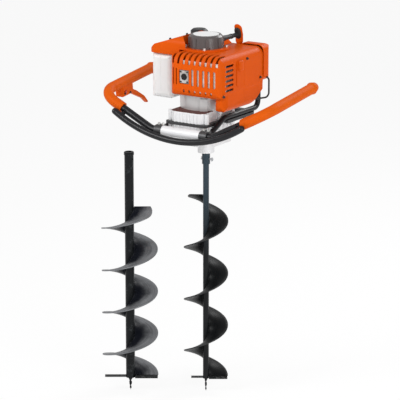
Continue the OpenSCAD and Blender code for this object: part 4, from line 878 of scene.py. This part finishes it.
bmesh.ops.translate(bm, vec=(-seam_w, 0, 0), verts=bm.verts)
swell(bm.verts[:], -seam_sink)
for out in (seam_h + seam_sink, -seam_h - seam_sink):
    ring, moved = draw_out(bm, ring, (seam_w, 0, 0))
    swell(moved, out)
bmesh.ops.bridge_loops(bm, edges=feet + ring)
bmesh.ops.recalc_face_normals(bm, faces=bm.faces)
piece_from("tank_seam", bm, tank_milk, "machine")

cap_black, tree, shader = finish("cap_black", (0.012, 0.012, 0.013), 0.42)
skin = use(tree, grain, Scale=1000.0, Slow_Scale=30.0)
tint(tree, shader, skin.outputs["Blotch"], (0.008, 0.008, 0.009), (0.022, 0.022, 0.023))
raise_surface(tree, shader, skin.outputs["Height"], 0.3, 0.0005)
dress(cap_black, "fuel_cap")

# Air filter: an open-celled foam block behind its moulded cover. A ribbed black knob at the back
# holds the cover on.
foam, tree, shader = finish("filter_foam", (0.02, 0.02, 0.02), 0.95)
cells = tree.nodes.new("ShaderNodeTexVoronoi")
cells.inputs["Scale"].default_value = 700
tree.links.new(tree.nodes["place"].outputs["Object"], cells.inputs["Vector"])
tint(tree, shader, cells.outputs["Distance"], (0.008, 0.008, 0.008), (0.05, 0.05, 0.05))
raise_surface(tree, shader, cells.outputs["Distance"], 0.8, 0.001)
dress(foam, "air_filter")

filter_low, filter_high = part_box("air_filter_cover")
knob_x, knob_z = (filter_low.x + filter_high.x) / 2, (filter_low.z + filter_high.z) / 2
knob = [(0.0, 0.013), (0.012, 0.0125), (0.0145, 0.010), (0.0150, 0.002), (0.0165, 0.0), (0.0165, -0.001)]
knob_ribs, rib_share, rib_from, rib_to = 12, 0.05, 0.0125, 0.016
bm = bmesh.new()
revolve(bm, knob, (knob_x, filter_high.y, knob_z), 48)
for v in bm.verts:
    across, up = v.co.x - knob_x, v.co.z - knob_z
    if rib_from < math.hypot(across, up) < rib_to:
        share = 1 - rib_share * (1 + math.cos(knob_ribs * math.atan2(up, across)))
        v.co.x, v.co.z = knob_x + across * share, knob_z + up * share
bmesh.ops.remove_doubles(bm, verts=bm.verts, dist=0.00002)
bmesh.ops.recalc_face_normals(bm, faces=bm.faces)
piece_from("filter_knob", bm, cap_black, "machine")

# Primer bulb and stop switch: a soft red rubber bulb pushed up under the carburettor, and a red
# button that slides in the side of the throttle housing.
red_rubber, tree, shader = finish("red_rubber", (0.35, 0.02, 0.015), 0.25)
shader.inputs["Subsurface Weight"].default_value = 0.2
skin = use(tree, grain, Scale=800.0, Slow_Scale=60.0)
tint(tree, shader, skin.outputs["Blotch"], (0.28, 0.015, 0.012), (0.42, 0.03, 0.02))
dress(red_rubber, "primer_bulb", "stop_switch")

# Grips: soft orange rubber sleeves, satin and a little darkened by hands. Each is pulled over an arm
# of the handle tube, round its bend and on to its end.
grip_rubber, tree, shader = finish("grip_rubber", (0.64, 0.095, 0.004), 0.5, gloss=0.05)
skin = use(tree, grain, Scale=1300.0, Slow_Scale=14.0)
tint(tree, shader, skin.outputs["Blotch"], (0.57, 0.078, 0.003), (0.69, 0.112, 0.005))
vary(tree, shader.inputs["Roughness"], skin.outputs["Blotch"], 0.40, 0.55)
raise_surface(tree, shader, skin.outputs["Height"], 0.3, 0.0005)
dress(grip_rubber, "left_grip", "right_grip")

# Spare bit: a wide flight on a tube with a drive socket, its enamel rubbed grey by soil,
# darkest beside the tube. It stands on its point.
tube_low, tube_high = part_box("spare_tube")
spare_axis = (tube_low + tube_high) / 2
spare_enamel = bit_enamel("spare_enamel", spare_axis, (0.006, 0.007, 0.011), (0.21, 0.215, 0.225),
                          inner=0.036, outer=0.088, wobble=0.050)
spare_root, spare_rim, spare_turns = 0.0156, 0.095, 4.0
bm = flight_plate(spare_axis, spare_root, spare_rim, "spare_flight", spare_turns)
spare_flight = piece_from("spare_worn_flight", bm, spare_enamel, "spare")
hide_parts("spare_flight")
bm = root_welds(spare_axis, spare_root + weld_out, "spare_flight", spare_turns)
piece_from("spare_welds", bm, spare_enamel, "spare")

spare_black, tree, shader = finish("spare_black", (0.012, 0.013, 0.015), 0.3, gloss=0.16)
worn = use(tree, scuff, Scale=45.0, Cover=0.66, Edge=0.12)
tint(tree, shader, worn.outputs["Mask"], (0.007, 0.008, 0.009), (0.030, 0.034, 0.036))
vary(tree, shader.inputs["Roughness"], worn.outputs["Mask"], 0.26, 0.42)
pores = use(tree, grain, Scale=800.0, Slow_Scale=30.0)
raise_surface(tree, shader, pores.outputs["Height"], 0.12, 0.0005)
dress(spare_black, "spare_tube", "spare_point")

# Stage: a plain pale floor and soft studio light, which are no part of the machine. Floor and
# background look white to the camera, and three area lamps stand in front, beside and behind.
white = (1, 1, 1, 1)
floor_half, floor_drop, floor_glow = 20, 0.001, 0.88
sky_light, sky_seen = 0.55, 1.0
lamps = (("key", (-1.6, -3.0, 3.0), 1.6, 80), ("fill", (3.0, -1.6, 1.8), 1.6, 52),
         ("back", (0.6, 2.6, 2.6), 1.4, 40))
lamp_aim = Vector((0, 0, 0.75))


def seen_by(tree, *rays):
    """One for the two kinds of ray that are named, nought for the rest."""
    path = tree.nodes.new("ShaderNodeLightPath")
    either = tree.nodes.new("ShaderNodeMath")
    either.operation = "MAXIMUM"
    for k, ray in enumerate(rays):
        tree.links.new(path.outputs[ray], either.inputs[k])
    return either.outputs[0]


floor_paint, tree, shader = finish("floor_paint", (0.90, 0.90, 0.90), 0.9, gloss=0.0)
glow = tree.nodes.new("ShaderNodeEmission")
glow.inputs["Color"].default_value = white
share = tree.nodes.new("ShaderNodeMath")
share.operation = "MULTIPLY"
share.inputs[1].default_value = floor_glow
tree.links.new(seen_by(tree, "Is Camera Ray", "Is Glossy Ray"), share.inputs[0])
mixed = tree.nodes.new("ShaderNodeMixShader")
tree.links.new(share.outputs[0], mixed.inputs["Fac"])
tree.links.new(shader.outputs[0], mixed.inputs[1])
tree.links.new(glow.outputs[0], mixed.inputs[2])
tree.links.new(mixed.outputs[0], tree.nodes["Material Output"].inputs["Surface"])
bm = bmesh.new()
bmesh.ops.create_grid(bm, x_segments=2, y_segments=2, size=floor_half)
bmesh.ops.translate(bm, vec=(0, 0, -floor_drop), verts=bm.verts)
mesh = bpy.data.meshes.new("floor")
bm.to_mesh(mesh)
bm.free()
mesh.materials.append(floor_paint)
floor = bpy.data.objects.new("floor", mesh)
scene.collection.objects.link(floor)

world = bpy.data.worlds.new("studio")
scene.world = world
world.use_nodes = True
tree = world.node_tree
sky = tree.nodes["Background"]
sky.inputs["Color"].default_value = white
level = tree.nodes.new("ShaderNodeMapRange")
level.inputs["To Min"].default_value = sky_light
level.inputs["To Max"].default_value = sky_seen
tree.links.new(seen_by(tree, "Is Camera Ray", "Is Transmission Ray"), level.inputs["Value"])
tree.links.new(level.outputs["Result"], sky.inputs["Strength"])

for label, place, size, power in lamps:
    lamp = bpy.data.objects.new(label, bpy.data.lights.new(label, "AREA"))
    lamp.data.size = size
    lamp.data.energy = power
    lamp.location = place
    lamp.rotation_euler = (lamp_aim - lamp.location).to_track_quat("-Z", "Y").to_euler()
    scene.collection.objects.link(lamp)

scene.view_settings.view_transform = "Standard"
